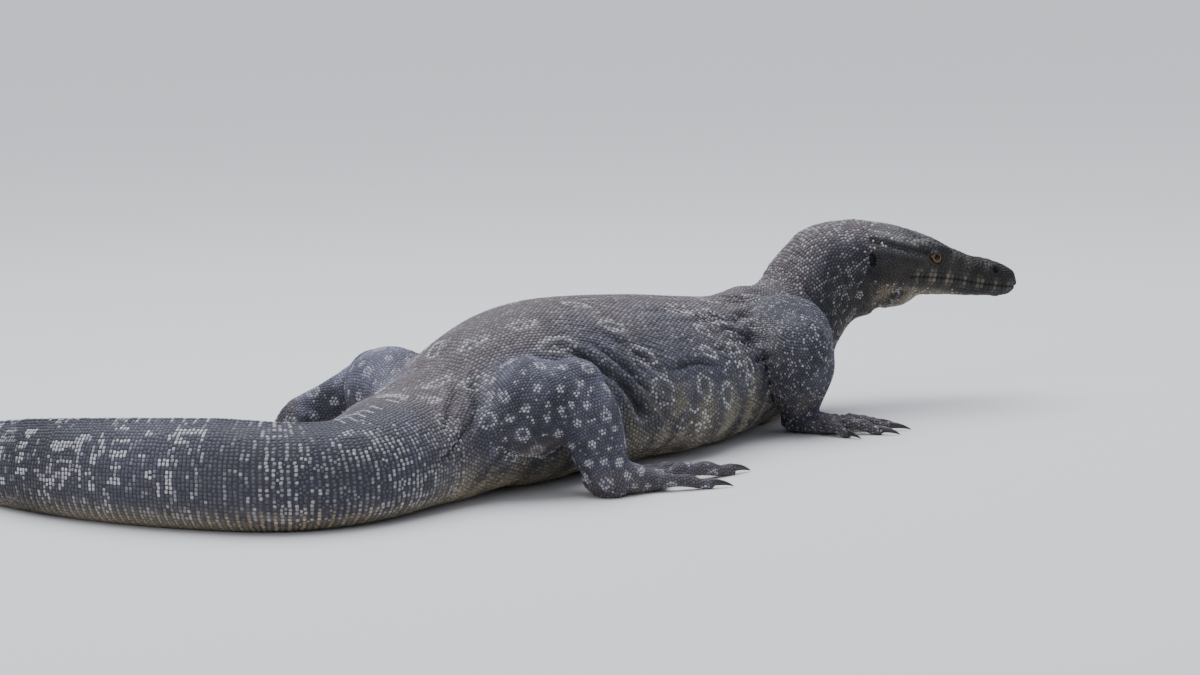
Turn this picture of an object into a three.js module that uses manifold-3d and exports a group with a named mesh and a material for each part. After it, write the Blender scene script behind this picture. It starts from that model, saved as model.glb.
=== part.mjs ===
// A water monitor lizard at life size, lying on its belly with its head raised and turned.
// Millimetres, +Z up. The floor is z = 0, and the origin lies on it under the middle of the
// trunk. +X runs along the animal's whole spread, from the tail's side to the head's side.
// Seen from -Y the animal faces right and away, and shows its right side.
import * as THREE from "three";
import { mergeVertices } from "three/addons/utils/BufferGeometryUtils.js";
import Module from "manifold-3d";

const wasm = await Module();
wasm.setup();

// Driving sizes
const TRUNK = 480; // shoulder joint to hip joint
const HIP_TO_VENT = 70;
const NECK = 190; // shoulder joint to the back of the skull
const HEAD = 158; // back of the skull to the tip of the snout
const TAIL = 1230;
const GAP = 0.3; // left between two nodes that touch
const SINK = 1; // how far a resting form is set into the floor before it is cut flat

// Places along the spine, measured from the middle of the trunk, towards the head
const SHOULDER = TRUNK / 2;
const HIP = -TRUNK / 2;
const VENT = HIP - HIP_TO_VENT;
const SKULL = SHOULDER + NECK;
const NECK_ROOT = SHOULDER + 30;
const TIP = VENT - TAIL;

const SKIN = new THREE.MeshStandardMaterial({ color: 0x4a4a4c, roughness: 0.62, metalness: 0 });
const CLAW_HORN = new THREE.MeshStandardMaterial({ color: 0x1d1a18, roughness: 0.35, metalness: 0 });
const EYE_GLOSS = new THREE.MeshStandardMaterial({ color: 0x14100c, roughness: 0.08, metalness: 0 });

const radians = THREE.MathUtils.degToRad;
const UP = new THREE.Vector3(0, 0, 1);
const point = (x, y, z) => new THREE.Vector3(x, y, z);

// A smooth curve through rows of [place, value, value, ...], as a function of place that
// gives the values.
function through(rows) {
  const slope = (i, k) => {
    const a = Math.max(i - 1, 0);
    const b = Math.min(i + 1, rows.length - 1);
    return (rows[b][k] - rows[a][k]) / (rows[b][0] - rows[a][0]);
  };
  return (place) => {
    let i = 0;
    while (i < rows.length - 2 && place > rows[i + 1][0]) i++;
    const step = rows[i + 1][0] - rows[i][0];
    const t = THREE.MathUtils.clamp((place - rows[i][0]) / step, 0, 1);
    return rows[i].slice(1).map((start, n) => {
      const end = rows[i + 1][n + 1];
      const rise = slope(i, n + 1) * step;
      const fall = slope(i + 1, n + 1) * step;
      const a = 2 * t ** 3 - 3 * t ** 2 + 1;
      const b = t ** 3 - 2 * t ** 2 + t;
      const c = t ** 3 - t ** 2;
      return a * start + b * rise + (1 - a) * end + c * fall;
    });
  };
}

// A power that keeps the sign, which squares (under 1) or sharpens (over 1) an ellipse
const bend = (value, power) => Math.sign(value) * Math.abs(value) ** power;

// A closed cylinder of unit size whose rings are laid at the given places. place(at, across,
// up, reach) says where a point goes: across and up are on the unit circle, and reach is 1
// on the wall and 0 at the middle of an end.
function laid(rings, sides, place) {
  const shape = new THREE.CylinderGeometry(1, 1, 1, sides, rings.length - 1, false);
  const at = shape.getAttribute("position");
  const v = new THREE.Vector3();
  for (let i = 0; i < at.count; i++) {
    v.fromBufferAttribute(at, i);
    const ring = rings[Math.round((v.y + 0.5) * (rings.length - 1))];
    const reach = Math.hypot(v.x, v.z);
    const across = reach > 0.5 ? -v.x / reach : 0;
    const up = reach > 0.5 ? v.z / reach : 0;
    const to = place(ring, across, up, reach > 0.5 ? 1 : 0);
    at.setXYZ(i, to.x, to.y, to.z);
  }
  return shape;
}

function solid(shape) {
  const bare = shape.clone();
  bare.deleteAttribute("normal");
  bare.deleteAttribute("uv");
  const merged = mergeVertices(bare, 1e-3);
  return new wasm.Manifold(
    new wasm.Mesh({
      numProp: 3,
      vertProperties: merged.getAttribute("position").array,
      triVerts: new Uint32Array(merged.index.array),
    }),
  );
}

// Keeps what lies on the side of the plane that the normal points to, half a gap clear of it.
function cut(body, on, normal, clear = GAP / 2) {
  const n = normal.clone().normalize();
  return body.trimByPlane(n.toArray(), on.dot(n) + clear);
}

const aboveFloor = (body) => body.trimByPlane([0, 0, 1], 0);

const group = new THREE.Group();

// Adds a solid's largest closed surface to the group as a named mesh.
function node(name, body, material) {
  const largest = body.decompose().sort((a, b) => b.volume() - a.volume())[0];
  const mesh = largest.getMesh();
  const shape = new THREE.BufferGeometry();
  shape.setAttribute("position", new THREE.BufferAttribute(mesh.vertProperties, 3));
  shape.setIndex(new THREE.BufferAttribute(mesh.triVerts, 1));
  const made = new THREE.Mesh(shape, material);
  made.name = name;
  group.add(made);
}

// Spaced places from one to another, both included
function steps(from, to, longest) {
  const count = Math.max(1, Math.ceil(Math.abs(to - from) / longest));
  return Array.from({ length: count + 1 }, (_, i) => from + ((to - from) * i) / count);
}

// The spine seen from above: the way it heads at places along it, in degrees from +X
const heading = through([
  [TIP, 30],
  [TIP + 170, 26],
  [TIP + 420, -6],
  [VENT - 580, -38],
  [VENT - 430, -48],
  [VENT - 340, -38],
  [VENT - 240, -26],
  [VENT - 165, -12],
  [VENT - 100, 34],
  [VENT - 35, 62],
  [HIP, 55],
  [0, 52],
  [SHOULDER, 52],
  [SHOULDER + 50, 46],
  [SHOULDER + 115, 26],
  [SKULL, 10],
]);

// The body's sections: half its width, its height above and below the widest line, how far
// the underside is off the floor, the power that squares the underside, the power that
// sharpens the top, and how far the section leans back as the neck climbs
const section = through([
  [TIP, 2, 2.6, 2.4, 0, 0.9, 1, 0],
  [TIP + 170, 7, 9.5, 8, 0, 0.85, 1.1, 0],
  [TIP + 400, 12.5, 20, 15, 0, 0.8, 1.2, 0],
  [TIP + 640, 18.5, 31, 23, 0, 0.8, 1.2, 0],
  [VENT - 400, 28, 45, 35, 0, 0.76, 1.1, 0],
  [VENT - 200, 40, 53, 40, 0, 0.7, 1, 0],
  [VENT - 90, 52, 47, 41, 0, 0.66, 0.9, 0],
  [VENT - 30, 60, 51, 44, 0, 0.66, 0.9, 0],
  [VENT, 66, 52, 47, 0, 0.68, 0.9, 0],
  [VENT + 30, 71, 52, 50, 0, 0.7, 0.95, 0],
  [HIP, 77, 62, 53, 0, 0.7, 1, 0],
  [-200, 84, 83, 55, 0, 0.7, 1.05, 0],
  [-150, 92, 96, 57, 0, 0.7, 1, 0],
  [-105, 99, 100.5, 58, 0, 0.7, 1, 0],
  [-55, 104, 99.5, 58, 0, 0.7, 1, 0],
  [50, 103, 90, 58, 0, 0.7, 1, 0],
  [140, 87, 79, 57, 0, 0.72, 1, 0],
  [190, 68, 75, 56, 0, 0.74, 1, 0],
  [SHOULDER, 56, 80, 55, 0, 0.78, 1, 6],
  [SHOULDER + 40, 52, 71, 57, 8, 0.86, 1, 18],
  [SHOULDER + 78, 48, 53, 60, 30, 0.95, 1, 29],
  [SHOULDER + 114, 45, 42, 64, 58, 1, 1, 33],
  [SHOULDER + 150, 42, 41, 64, 82, 1, 1, 24],
  [SKULL, 40, 37, 60, 93, 1, 1, 6],
]);

// The centre line, found by stepping along the headings. It climbs where the sections do.
const SPINE_STEP = 2;
const centreHeight = (s) => section(s)[3] + section(s)[2] - (s < SHOULDER ? SINK : 0);
function walk(to) {
  const line = [];
  const way = Math.sign(to);
  let x = 0;
  let y = 0;
  for (let s = 0; s * way <= to * way + SPINE_STEP; s += way * SPINE_STEP) {
    line.push([s, x, y, centreHeight(s)]);
    const climb = centreHeight(s + way * SPINE_STEP) - centreHeight(s);
    const run = Math.sqrt(Math.max(SPINE_STEP ** 2 - climb ** 2, 0));
    const turn = radians(heading(s + (way * SPINE_STEP) / 2)[0]);
    x += way * run * Math.cos(turn);
    y += way * run * Math.sin(turn);
  }
  return line;
}
const centreLine = through([...walk(TIP).reverse().slice(0, -1), ...walk(SKULL)]);

// A frame that heads one way, tipped up or down: the way ahead, left and up
function facing(middle, turn, tip) {
  const [a, b] = [radians(turn), radians(tip)];
  const ahead = point(Math.cos(a) * Math.cos(b), Math.sin(a) * Math.cos(b), Math.sin(b));
  const left = new THREE.Vector3().crossVectors(UP, ahead).normalize();
  const up = new THREE.Vector3().crossVectors(ahead, left);
  return { middle, ahead, left, up };
}
const spine = (s) => facing(point(...centreLine(s)), heading(s)[0], section(s)[6]);

const inFrame = (frame, ahead, left, up) =>
  frame.middle
    .clone()
    .addScaledVector(frame.ahead, ahead)
    .addScaledVector(frame.left, left)
    .addScaledVector(frame.up, up);

// The keel along the top of the tail, a low crest that the rings carry on their top corner
const keel = through([
  [TIP, 0],
  [TIP + 120, 1.6],
  [VENT - 420, 4],
  [VENT - 120, 3],
  [VENT + 40, 0],
]);
const keelAt = (s) => (s > VENT + 40 ? 0 : Math.max(keel(s)[0], 0));
const KEEL_EDGE = 0.985; // how near the top a ring's corner lies to carry the keel

function bodyPoint(s, across, up, reach, grown = 0) {
  const [half, above, below, , squared, sharp] = section(s);
  const frame = spine(s);
  const high = up > 0 ? above : below;
  const side = (half + grown) * (up > 0 ? bend(across, sharp) : bend(across, squared));
  const crest = up > KEEL_EDGE ? keelAt(s) : 0;
  const rise = (high + grown) * (up > 0 ? bend(up, 1) : bend(up, squared)) + crest;
  return inFrame(frame, 0, reach * side, reach * rise);
}

const BODY_SIDES = 28;
const body = (rings, sides = BODY_SIDES, grown = 0) =>
  solid(laid(rings, sides, (s, a, u, r) => bodyPoint(s, a, u, r, grown)));

// Torso, and the tail in lengths with fewer sides towards the tip
const TORSO_RINGS = steps(VENT + GAP / 2, NECK_ROOT - GAP / 2, 24);
node("torso", aboveFloor(body(TORSO_RINGS)), SKIN);
const TAIL_CUTS = [VENT, VENT - 230, VENT - 470, VENT - 720, VENT - 960, TIP];
const TAIL_RINGS = TAIL_CUTS.slice(1).map((end, i) =>
  steps(end === TIP ? end : end + GAP / 2, TAIL_CUTS[i] - GAP / 2, 22 + 4 * i),
);
TAIL_RINGS.forEach((rings, i) => {
  node(`tail_${i + 1}`, aboveFloor(body(rings, [BODY_SIDES, 20, 20, 16, 12][i])), SKIN);
});

// The head's own frame, at the back of the skull
const HEAD_HEADING = 7;
const HEAD_PITCH = -12;
const skull = facing(spine(SKULL).middle, HEAD_HEADING, HEAD_PITCH);

// The head's sections from the nape to the snout: half its width, its height above and below
// the line of the skull, and the powers that square its top and its underside
const headSection = through([
  [-20, 38, 33, 44, 1, 1],
  [0, 39, 34.5, 48, 0.95, 0.95],
  [20, 39, 35, 44, 0.88, 0.92],
  [42, 36, 33, 35, 0.82, 0.9],
  [65, 30, 29, 29.5, 0.76, 0.9],
  [86, 25.5, 22.5, 26, 0.76, 0.9],
  [107, 23, 18, 23, 0.8, 0.9],
  [128, 21.5, 17, 20, 0.82, 0.9],
  [146, 19, 13.5, 17, 0.86, 0.9],
  [155, 13, 8.5, 12, 0.95, 0.95],
  [HEAD, 5, 3, 5, 1, 1],
]);
const headPoint = (x, across, up, reach) => {
  const [half, above, below, top, under] = headSection(x);
  const power = up > 0 ? top : under;
  const high = up > 0 ? above : below;
  return inFrame(skull, x, reach * half * bend(across, power), reach * high * bend(up, power));
};

const placed = (shape, at, turn = [0, 0, 0]) => {
  const own = new THREE.Matrix4().makeRotationFromEuler(new THREE.Euler(...turn.map(radians)));
  own.setPosition(...at);
  const basis = new THREE.Matrix4().makeBasis(skull.ahead, skull.left, skull.up);
  basis.setPosition(skull.middle);
  return solid(shape.clone().applyMatrix4(own).applyMatrix4(basis));
};
const ball = (a, b, c, around = 12, tall = 8) =>
  new THREE.SphereGeometry(1, around, tall).rotateX(Math.PI / 2).scale(a, b, c);

// The wedge of the skull with the soft throat slung under its rear half
const HEAD_RINGS = [...steps(-20, 142, 10), 149, 155, HEAD];
const throat = placed(ball(46, 31, 30), [16, 0, -20], [0, 4, 0]);
const headForm = solid(laid(HEAD_RINGS, 24, headPoint)).add(throat);

const EYE_RADIUS = 8.6;
const EYE_AT = [67, 23.5, 11];
let head = headForm;

for (const side of [1, -1]) {
  const at = (x, y, z) => [x, side * y, z];
  // the brow, a ridge of bone and scales that overhangs the eye
  head = head.add(placed(ball(21, 5.2, 4.6), at(64, 23, 22), [0, 6, -side * 9]));
  // the rim of the nostril, a low swelling near the tip of the snout
  head = head.add(placed(ball(7.5, 4, 5), at(131, 16.6, 8.6), [0, 20, -side * 8]));
  // the lids, one ring round the eye drawn out into its corners
  const ring = new THREE.TorusGeometry(8.2, 1.9, 6, 14).scale(1.2, 0.92, 0.9).rotateX(Math.PI / 2);
  head = head.add(placed(ring, at(EYE_AT[0], EYE_AT[1] + 4.6, EYE_AT[2]), [side * 10, 8, -side * 12]));
}
for (const side of [1, -1]) {
  const at = (x, y, z) => [x, side * y, z];
  // the eye's socket, the nostril's hollow and the cup of the ear
  head = head.subtract(placed(ball(EYE_RADIUS + GAP, EYE_RADIUS + GAP, EYE_RADIUS + GAP), at(...EYE_AT)));
  head = head.subtract(placed(ball(3.6, 3.4, 2.4, 10, 8), at(131.5, 20.6, 9.4), [0, 30, 0]));
  head = head.subtract(placed(ball(5, 5, 8.5, 12, 8), at(4, 40, 3), [0, -12, 0]));
}

// The line of the mouth, a thin curved slit from the snout back to under the ear side of the
// eye
const mouthLine = through([
  [40, -12.5],
  [56, -9.6],
  [90, -6.8],
  [125, -6.6],
  [160, -4],
]);
const MOUTH_SLIT = 0.9;
const slit = new THREE.BoxGeometry(1, 1, 1, 6, 1, 1);
const corner = slit.getAttribute("position");
for (let i = 0; i < corner.count; i++) {
  const x = 44 + 116 * (corner.getX(i) + 0.5);
  const z = mouthLine(x)[0] + MOUTH_SLIT * corner.getZ(i);
  corner.setXYZ(i, x, 90 * corner.getY(i), z);
}
head = head.subtract(placed(slit, [0, 0, 0]));

// Neck and skull meet on a plane just behind the ears.
const EAR_PLANE = -14;
const behindEars = inFrame(skull, EAR_PLANE, 0, 0);
const NECK_RINGS = steps(NECK_ROOT + GAP / 2, SKULL, 16);
const neck = body(NECK_RINGS).add(headForm);
node("neck", cut(neck, behindEars, skull.ahead.clone().negate()), SKIN);
node("head", cut(head, behindEars, skull.ahead), SKIN);
for (const [name, side] of [["eye_left", 1], ["eye_right", -1]]) {
  const globe = ball(EYE_RADIUS, EYE_RADIUS, EYE_RADIUS);
  node(name, placed(globe, [EYE_AT[0], side * EYE_AT[1], EYE_AT[2]]), EYE_GLOSS);
}

// A limb's length from one joint to the next. Rows give the share of the length, half the
// width, half the thickness, and how far the muscle lies off the bone's line towards the
// outside of the limb's bend.
const LIMB_SIDES = 14;
function limb(from, to, outside, rows) {
  const ahead = to.clone().sub(from);
  const length = ahead.length();
  ahead.normalize();
  const thick = outside.clone().addScaledVector(ahead, -outside.dot(ahead)).normalize();
  const wide = new THREE.Vector3().crossVectors(thick, ahead);
  const form = through(rows);
  const first = rows[0][1] / length;
  const last = rows[rows.length - 1][1] / length;
  const dome = [0.15, 0.6, 0.9];
  const rings = [
    ...dome.map((d) => -first * Math.sqrt(1 - (d * 0.98) ** 2)),
    ...steps(0, 1, 0.17),
    ...dome.map((d) => 1 + last * Math.sqrt(1 - (d * 0.98) ** 2)).reverse(),
  ];
  return solid(
    laid(rings, LIMB_SIDES, (t, a, u, r) => {
      const [half, thickness, off] = form(THREE.MathUtils.clamp(t, 0, 1));
      const past = t < 0 ? -t / first : t > 1 ? (t - 1) / last : 0;
      const round = Math.sqrt(Math.max(1 - past ** 2, 0));
      return from
        .clone()
        .addScaledVector(ahead, t * length)
        .addScaledVector(wide, r * a * half * round)
        .addScaledVector(thick, off + r * u * thickness * round);
    }),
  );
}

// A toe along the floor: it leaves the foot, arches over its knuckles and ends in a claw.
function toe(root, turn, length, thick, arch) {
  const ahead = point(Math.cos(turn), Math.sin(turn), 0);
  const left = point(-Math.sin(turn), Math.cos(turn), 0);
  const radius = (t) => thick * (1 - 0.34 * t) * (1 + 0.08 * Math.cos(t * 3 * 2 * Math.PI));
  const height = (t) => radius(t) - SINK / 2 + arch * Math.sin(Math.PI * Math.min(t * 1.1, 1)) ** 1.5;
  const middle = (t) => root.clone().addScaledVector(ahead, t * length).setZ(Math.max(height(t), 0));
  const rings = steps(-0.12, 1, 0.16);
  const flesh = solid(
    laid(rings, 7, (t, a, u, r) => {
      const taper = t > 0.97 ? 0.86 : 1;
      return middle(Math.max(t, 0))
        .addScaledVector(ahead, Math.min(t, 0) * length)
        .addScaledVector(left, r * a * radius(Math.max(t, 0)) * taper)
        .addScaledVector(UP, r * u * radius(Math.max(t, 0)) * taper);
    }),
  );
  return { flesh, end: middle(1), ahead, left, radius: radius(1) * 0.86 };
}

// A claw: a horn hook, deeper than wide, that leaves the toe level and curves to the floor
const CLAW_TIP_CLEAR = 0.4;
function claw(grown, length) {
  const base = grown.radius * 0.78;
  const bow = radians(52);
  const start = grown.end.clone().addScaledVector(grown.ahead, GAP).add(point(0, 0, grown.radius * 0.12));
  const sweep = length / bow;
  const drop = Math.min((start.z - CLAW_TIP_CLEAR - 0.5) / (sweep * (1 - Math.cos(bow))), 1);
  return solid(
    laid(steps(0, 1, 0.25), 6, (t, a, u, r) => {
      const turn = bow * t;
      const thin = t > 0.99 ? 0.08 : 1 - t ** 1.3 * 0.86;
      return start
        .clone()
        .addScaledVector(grown.ahead, sweep * Math.sin(turn) + r * u * base * thin * Math.sin(turn) * drop)
        .addScaledVector(grown.left, r * a * base * thin * 0.72)
        .addScaledVector(UP, -sweep * (1 - Math.cos(turn)) * drop + r * u * base * thin * Math.cos(turn));
    }),
  );
}

// Toes from the inner to the outer: how far along and across the sole each is rooted, how far
// it turns from the foot's heading, its length, half its thickness, its arch and its claw
const HIND_TOES = [
  [44, 21, 30, 40, 7.2, 2, 19],
  [54, 12, 15, 56, 7.6, 3, 21],
  [58, 2, 4, 76, 8, 4, 23],
  [54, -9, -8, 94, 8.2, 5, 24],
  [26, -17, -36, 66, 7.4, 4, 21],
];
const FORE_TOES = [
  [26, 17, 44, 32, 6.8, 2, 19],
  [34, 10, 20, 46, 7.2, 3, 21],
  [36, 1, 2, 54, 7.4, 4, 22],
  [33, -8, -16, 52, 7.4, 4, 21],
  [24, -16, -42, 38, 6.8, 3, 19],
];

// A foot or hand flat on the floor: its sole from the wrist or ankle, and its toes
function paw(joint, turn, outer, sole, toes) {
  const ahead = point(Math.cos(turn), Math.sin(turn), 0);
  const left = point(-Math.sin(turn), Math.cos(turn), 0);
  const on = (x, y) => point(joint.x, joint.y, 0).addScaledVector(ahead, x).addScaledVector(left, y);
  const form = through(sole.rows);
  const rings = steps(sole.rows[0][0], sole.rows[sole.rows.length - 1][0], 11);
  let flesh = solid(
    laid(rings, 12, (x, a, u, r) => {
      const [half, high, skew] = form(x);
      const side = outer * skew + r * half * bend(a, 0.85);
      const middle = Math.max(high / 2 - SINK / 2, joint.z - 2 - Math.max(x, 0) * sole.drop);
      return on(x, side).setZ(middle + (r * (u > 0 ? u : bend(u, 0.7)) * high) / 2);
    }),
  );
  const claws = [];
  for (const [x, y, swing, length, thick, arch, nail] of toes) {
    const grown = toe(on(x, -outer * y), turn - outer * radians(swing), length, thick, arch);
    flesh = flesh.add(grown.flesh);
    claws.push(claw(grown, nail));
  }
  return { flesh, claws };
}
// Rows of a sole: how far ahead of the joint, half its width, its height, and how far it lies
// towards the outer side
const HIND_SOLE = {
  drop: 1,
  rows: [
    [-22, 10, 12, 0],
    [-14, 17, 24, 0],
    [0, 23, 35, 0],
    [22, 26, 29, 1],
    [46, 28, 20, 0],
    [62, 20, 13, -2],
  ],
};
const FORE_SOLE = {
  drop: 1,
  rows: [
    [-16, 9, 12, 0],
    [-9, 16, 22, 0],
    [4, 20, 26, 0],
    [20, 24, 20, 0],
    [38, 23, 15, 0],
    [48, 15, 10, 0],
  ],
};

// Half widths and thicknesses of the limbs' lengths
const THIGH = [
  [0, 36, 22, 0],
  [0.2, 42, 29, 0],
  [0.45, 48, 41, 5],
  [0.7, 44, 42, 7],
  [1, 29, 28, 0],
];
const SHIN = [
  [0, 29, 28, 0],
  [0.3, 32, 30, 2],
  [0.65, 29, 26, 2],
  [1, 25, 20, 0],
];
const TUCKED_SHIN = [
  [0, 27, 26, 0],
  [0.3, 23, 19, 0],
  [0.65, 19, 17, 0],
  [1, 17.5, 16.5, 0],
];
const UPPER_ARM = [
  [0, 42, 42, 0],
  [0.35, 43, 41, 3],
  [0.7, 38, 37, 2],
  [1, 33, 32, 0],
];
const FOREARM = [
  [0, 33, 32, 0],
  [0.3, 33, 31, 2],
  [0.7, 24, 22, 1],
  [1, 17, 15, 0],
];

// Where each leg's joints lie: the upper joint along the spine, across it and above the
// floor, then the middle and lower joints from it, as ahead, outwards and height
const LEGS = [
  {
    name: "right_hind",
    outer: -1,
    at: [HIP, 48, 52],
    knee: [60, 57, 92],
    ankle: [56, 94, 18],
    turn: 48,
    rows: [THIGH, SHIN],
    sole: HIND_SOLE,
    toes: HIND_TOES,
  },
  {
    name: "left_hind",
    outer: 1,
    at: [HIP, 48, 58],
    knee: [72, 78, 86],
    ankle: [26, 132, 56],
    turn: 118,
    rows: [THIGH, TUCKED_SHIN],
    sole: HIND_SOLE,
    toes: HIND_TOES,
  },
  {
    name: "right_fore",
    outer: -1,
    at: [SHOULDER - 12, 50, 88],
    knee: [-50, 56, 84],
    ankle: [-27, 36, 15],
    turn: -8,
    rows: [UPPER_ARM, FOREARM],
    sole: FORE_SOLE,
    toes: FORE_TOES,
  },
  {
    name: "left_fore",
    outer: 1,
    at: [SHOULDER - 12, 46, 72],
    knee: [-52, 56, 66],
    ankle: [-20, 66, 15],
    turn: 58,
    rows: [UPPER_ARM, FOREARM],
    sole: FORE_SOLE,
    toes: FORE_TOES,
  },
];
const NAMES = {
  hind: ["thigh", "shin", "foot"],
  fore: ["upper_arm", "forearm", "hand"],
};

// What the legs are cut clear of: the trunk, the tail's root and the neck, a gap larger
const clearOfBody = body([...TAIL_RINGS[0], ...TORSO_RINGS, ...NECK_RINGS], BODY_SIDES, GAP);
for (const leg of LEGS) {
  const root = spine(leg.at[0]);
  const ahead = root.ahead.clone().setZ(0).normalize();
  const out = root.left.clone().multiplyScalar(leg.outer);
  const upper = point(root.middle.x, root.middle.y, leg.at[2]).addScaledVector(out, leg.at[1]);
  const from = ([x, y, z]) =>
    point(upper.x, upper.y, z).addScaledVector(ahead, x).addScaledVector(out, y);
  const knee = from(leg.knee);
  const ankle = from(leg.ankle);
  const first = knee.clone().sub(upper).normalize();
  const second = ankle.clone().sub(knee).normalize();
  const outside = first.clone().sub(second);
  const turn = radians(leg.turn);
  const footAhead = point(Math.cos(turn), Math.sin(turn), 0);
  const [thigh, shin, foot] = NAMES[leg.name.split("_")[1]];
  const side = leg.name.split("_")[0];

  const upperForm = limb(upper, knee, outside, leg.rows[0]);
  const lowerForm = limb(knee, ankle, outside, leg.rows[1]);
  const grown = paw(ankle, turn, leg.outer, leg.sole, leg.toes);

  const bendPlane = first.clone().add(second);
  const anklePlane = second.clone().multiplyScalar(1.4).add(footAhead);
  const upperPart = cut(upperForm, knee, bendPlane.clone().negate()).subtract(clearOfBody);
  const lowerPart = cut(cut(lowerForm, knee, bendPlane), ankle, anklePlane.clone().negate());
  const footPart = cut(grown.flesh.add(lowerForm), ankle, anklePlane);

  node(`${side}_${thigh}`, aboveFloor(upperPart), SKIN);
  node(`${side}_${shin}`, aboveFloor(lowerPart.subtract(clearOfBody)), SKIN);
  node(`${side}_${foot}`, aboveFloor(footPart.subtract(clearOfBody)), SKIN);
  grown.claws.forEach((horn, i) => node(`${side}_${foot}_claw_${i + 1}`, horn, CLAW_HORN));
}

export default group;
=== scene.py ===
# A water monitor lizard at life size, lying on its belly with its head raised and turned.
# The frame's solids give place and size. This file gives the skin, its scales and markings,
# the eyes and the claws. The scene is in metres, +Z up, with the floor at z = 0. The animal's
# own sizes below are in millimetres, in the same frame, and MM turns them into metres.
import itertools
import math

import bmesh
import bpy
import numpy as np
from mathutils import Matrix, Vector
from mathutils.bvhtree import BVHTree
from mathutils.kdtree import KDTree


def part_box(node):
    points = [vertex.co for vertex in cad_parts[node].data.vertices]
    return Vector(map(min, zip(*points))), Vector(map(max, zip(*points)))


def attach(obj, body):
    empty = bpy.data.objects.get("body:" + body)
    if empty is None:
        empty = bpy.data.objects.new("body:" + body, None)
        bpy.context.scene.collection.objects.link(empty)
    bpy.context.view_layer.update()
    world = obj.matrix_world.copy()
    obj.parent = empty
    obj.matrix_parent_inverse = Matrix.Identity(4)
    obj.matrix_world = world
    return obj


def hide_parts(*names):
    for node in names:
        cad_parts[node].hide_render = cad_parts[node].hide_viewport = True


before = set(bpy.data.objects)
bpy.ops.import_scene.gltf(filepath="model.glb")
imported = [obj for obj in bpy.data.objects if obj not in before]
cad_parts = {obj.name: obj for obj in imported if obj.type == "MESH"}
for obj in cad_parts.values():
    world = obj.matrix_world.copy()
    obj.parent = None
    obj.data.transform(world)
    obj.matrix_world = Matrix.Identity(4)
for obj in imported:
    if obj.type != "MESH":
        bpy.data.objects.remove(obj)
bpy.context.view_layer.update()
MM = 0.001


# The viewpoint: a long lens a little above the animal, dipped towards it and held slightly
# turned. Its place was fitted to where the animal meets the ground.
CAMERA_PLACE = Vector((1, -3725, 600)) * MM
CAMERA_DIP = math.radians(7.47)
CAMERA_ROLL = math.radians(1.604)
LENS_MM = 120
SENSOR_MM = 36


def new_object(name, data):
    made = bpy.data.objects.new(name, data)
    bpy.context.scene.collection.objects.link(made)
    return made


camera = new_object("camera", bpy.data.cameras.new("camera"))
camera.data.sensor_width = SENSOR_MM
camera.data.lens = LENS_MM
camera.data.clip_end = 100
look = Matrix.Rotation(math.pi / 2 - CAMERA_DIP, 4, "X") @ Matrix.Rotation(-CAMERA_ROLL, 4, "Z")
camera.matrix_world = Matrix.Translation(CAMERA_PLACE) @ look
bpy.context.scene.camera = camera


# The floor and the light: a plain pale studio floor under a wide soft sky and one square lamp
# overhead, as open shade lights the real animal, with a weaker lamp from the front and left.
def plug(tree, socket, value):
    """Sets a socket to a value, or links a wire to it"""
    if isinstance(value, Wire):
        tree.links.new(value.socket, socket)
    else:
        socket.default_value = value


class Wire:
    """A shader socket for use in expressions: each operator adds its Math node."""

    def __init__(self, socket):
        self.socket = socket
        self.tree = socket.id_data

    @staticmethod
    def add(tree, kind, settings, values, out=0):
        """Any node: its settings are set first, and then the values or links of its sockets"""
        made = tree.nodes.new("ShaderNode" + kind)
        stops = settings.pop("stops", ())
        for name, setting in settings.items():
            setattr(made, name, setting)
        for _ in stops[2:]:
            made.color_ramp.elements.new(0.5)
        for stop, (place, colour) in zip(made.color_ramp.elements if stops else (), stops):
            stop.position = place
            stop.color = colour
        for name, value in values.items():
            plug(tree, made.inputs[name], value)
        return Wire(made.outputs[out])

    def maths(self, operation, first, second):
        return Wire.add(self.tree, "Math", {"operation": operation}, {0: first, 1: second})

    def __add__(self, other):
        return self.maths("ADD", self, other)

    def __radd__(self, other):
        return self.maths("ADD", other, self)

    def __sub__(self, other):
        return self.maths("SUBTRACT", self, other)

    def __rsub__(self, other):
        return self.maths("SUBTRACT", other, self)

    def __mul__(self, other):
        return self.maths("MULTIPLY", self, other)

    def __rmul__(self, other):
        return self.maths("MULTIPLY", other, self)

    def tint(self, blend, share, other):
        """This colour blended with another, by a share from 0 to 1"""
        settings = {"data_type": "RGBA", "blend_type": blend}
        return Wire.add(self.tree, "Mix", settings, {0: share, 6: self, 7: other}, out=2)


def finish_tree(name):
    """A new material, its node tree and its shader node"""
    material = bpy.data.materials.new(name)
    material.use_nodes = True
    tree = material.node_tree
    return material, tree, tree.nodes["Principled BSDF"]


def feed(tree, shader, **sockets):
    for name, value in sockets.items():
        plug(tree, shader.inputs[name.replace("_", " ")], value)


FLOOR_HALF = 40
floor_mesh = bpy.data.meshes.new("floor")
corners = [(x, y, 0) for x, y in ((-1, -1), (1, -1), (1, 1), (-1, 1))]
floor_mesh.from_pydata([Vector(c) * FLOOR_HALF for c in corners], [], [(0, 1, 2, 3)])
floor = new_object("floor", floor_mesh)
floor_finish, tree, shader = finish_tree("studio_floor")
feed(tree, shader, Base_Color=(0.72, 0.71, 0.7, 1), Roughness=0.85)
floor.data.materials.append(floor_finish)

world = bpy.data.worlds.new("studio")
world.use_nodes = True
world.node_tree.nodes["Background"].inputs["Color"].default_value = (0.8, 0.86, 1, 1)
world.node_tree.nodes["Background"].inputs["Strength"].default_value = 0.6
bpy.context.scene.world = world

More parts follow.
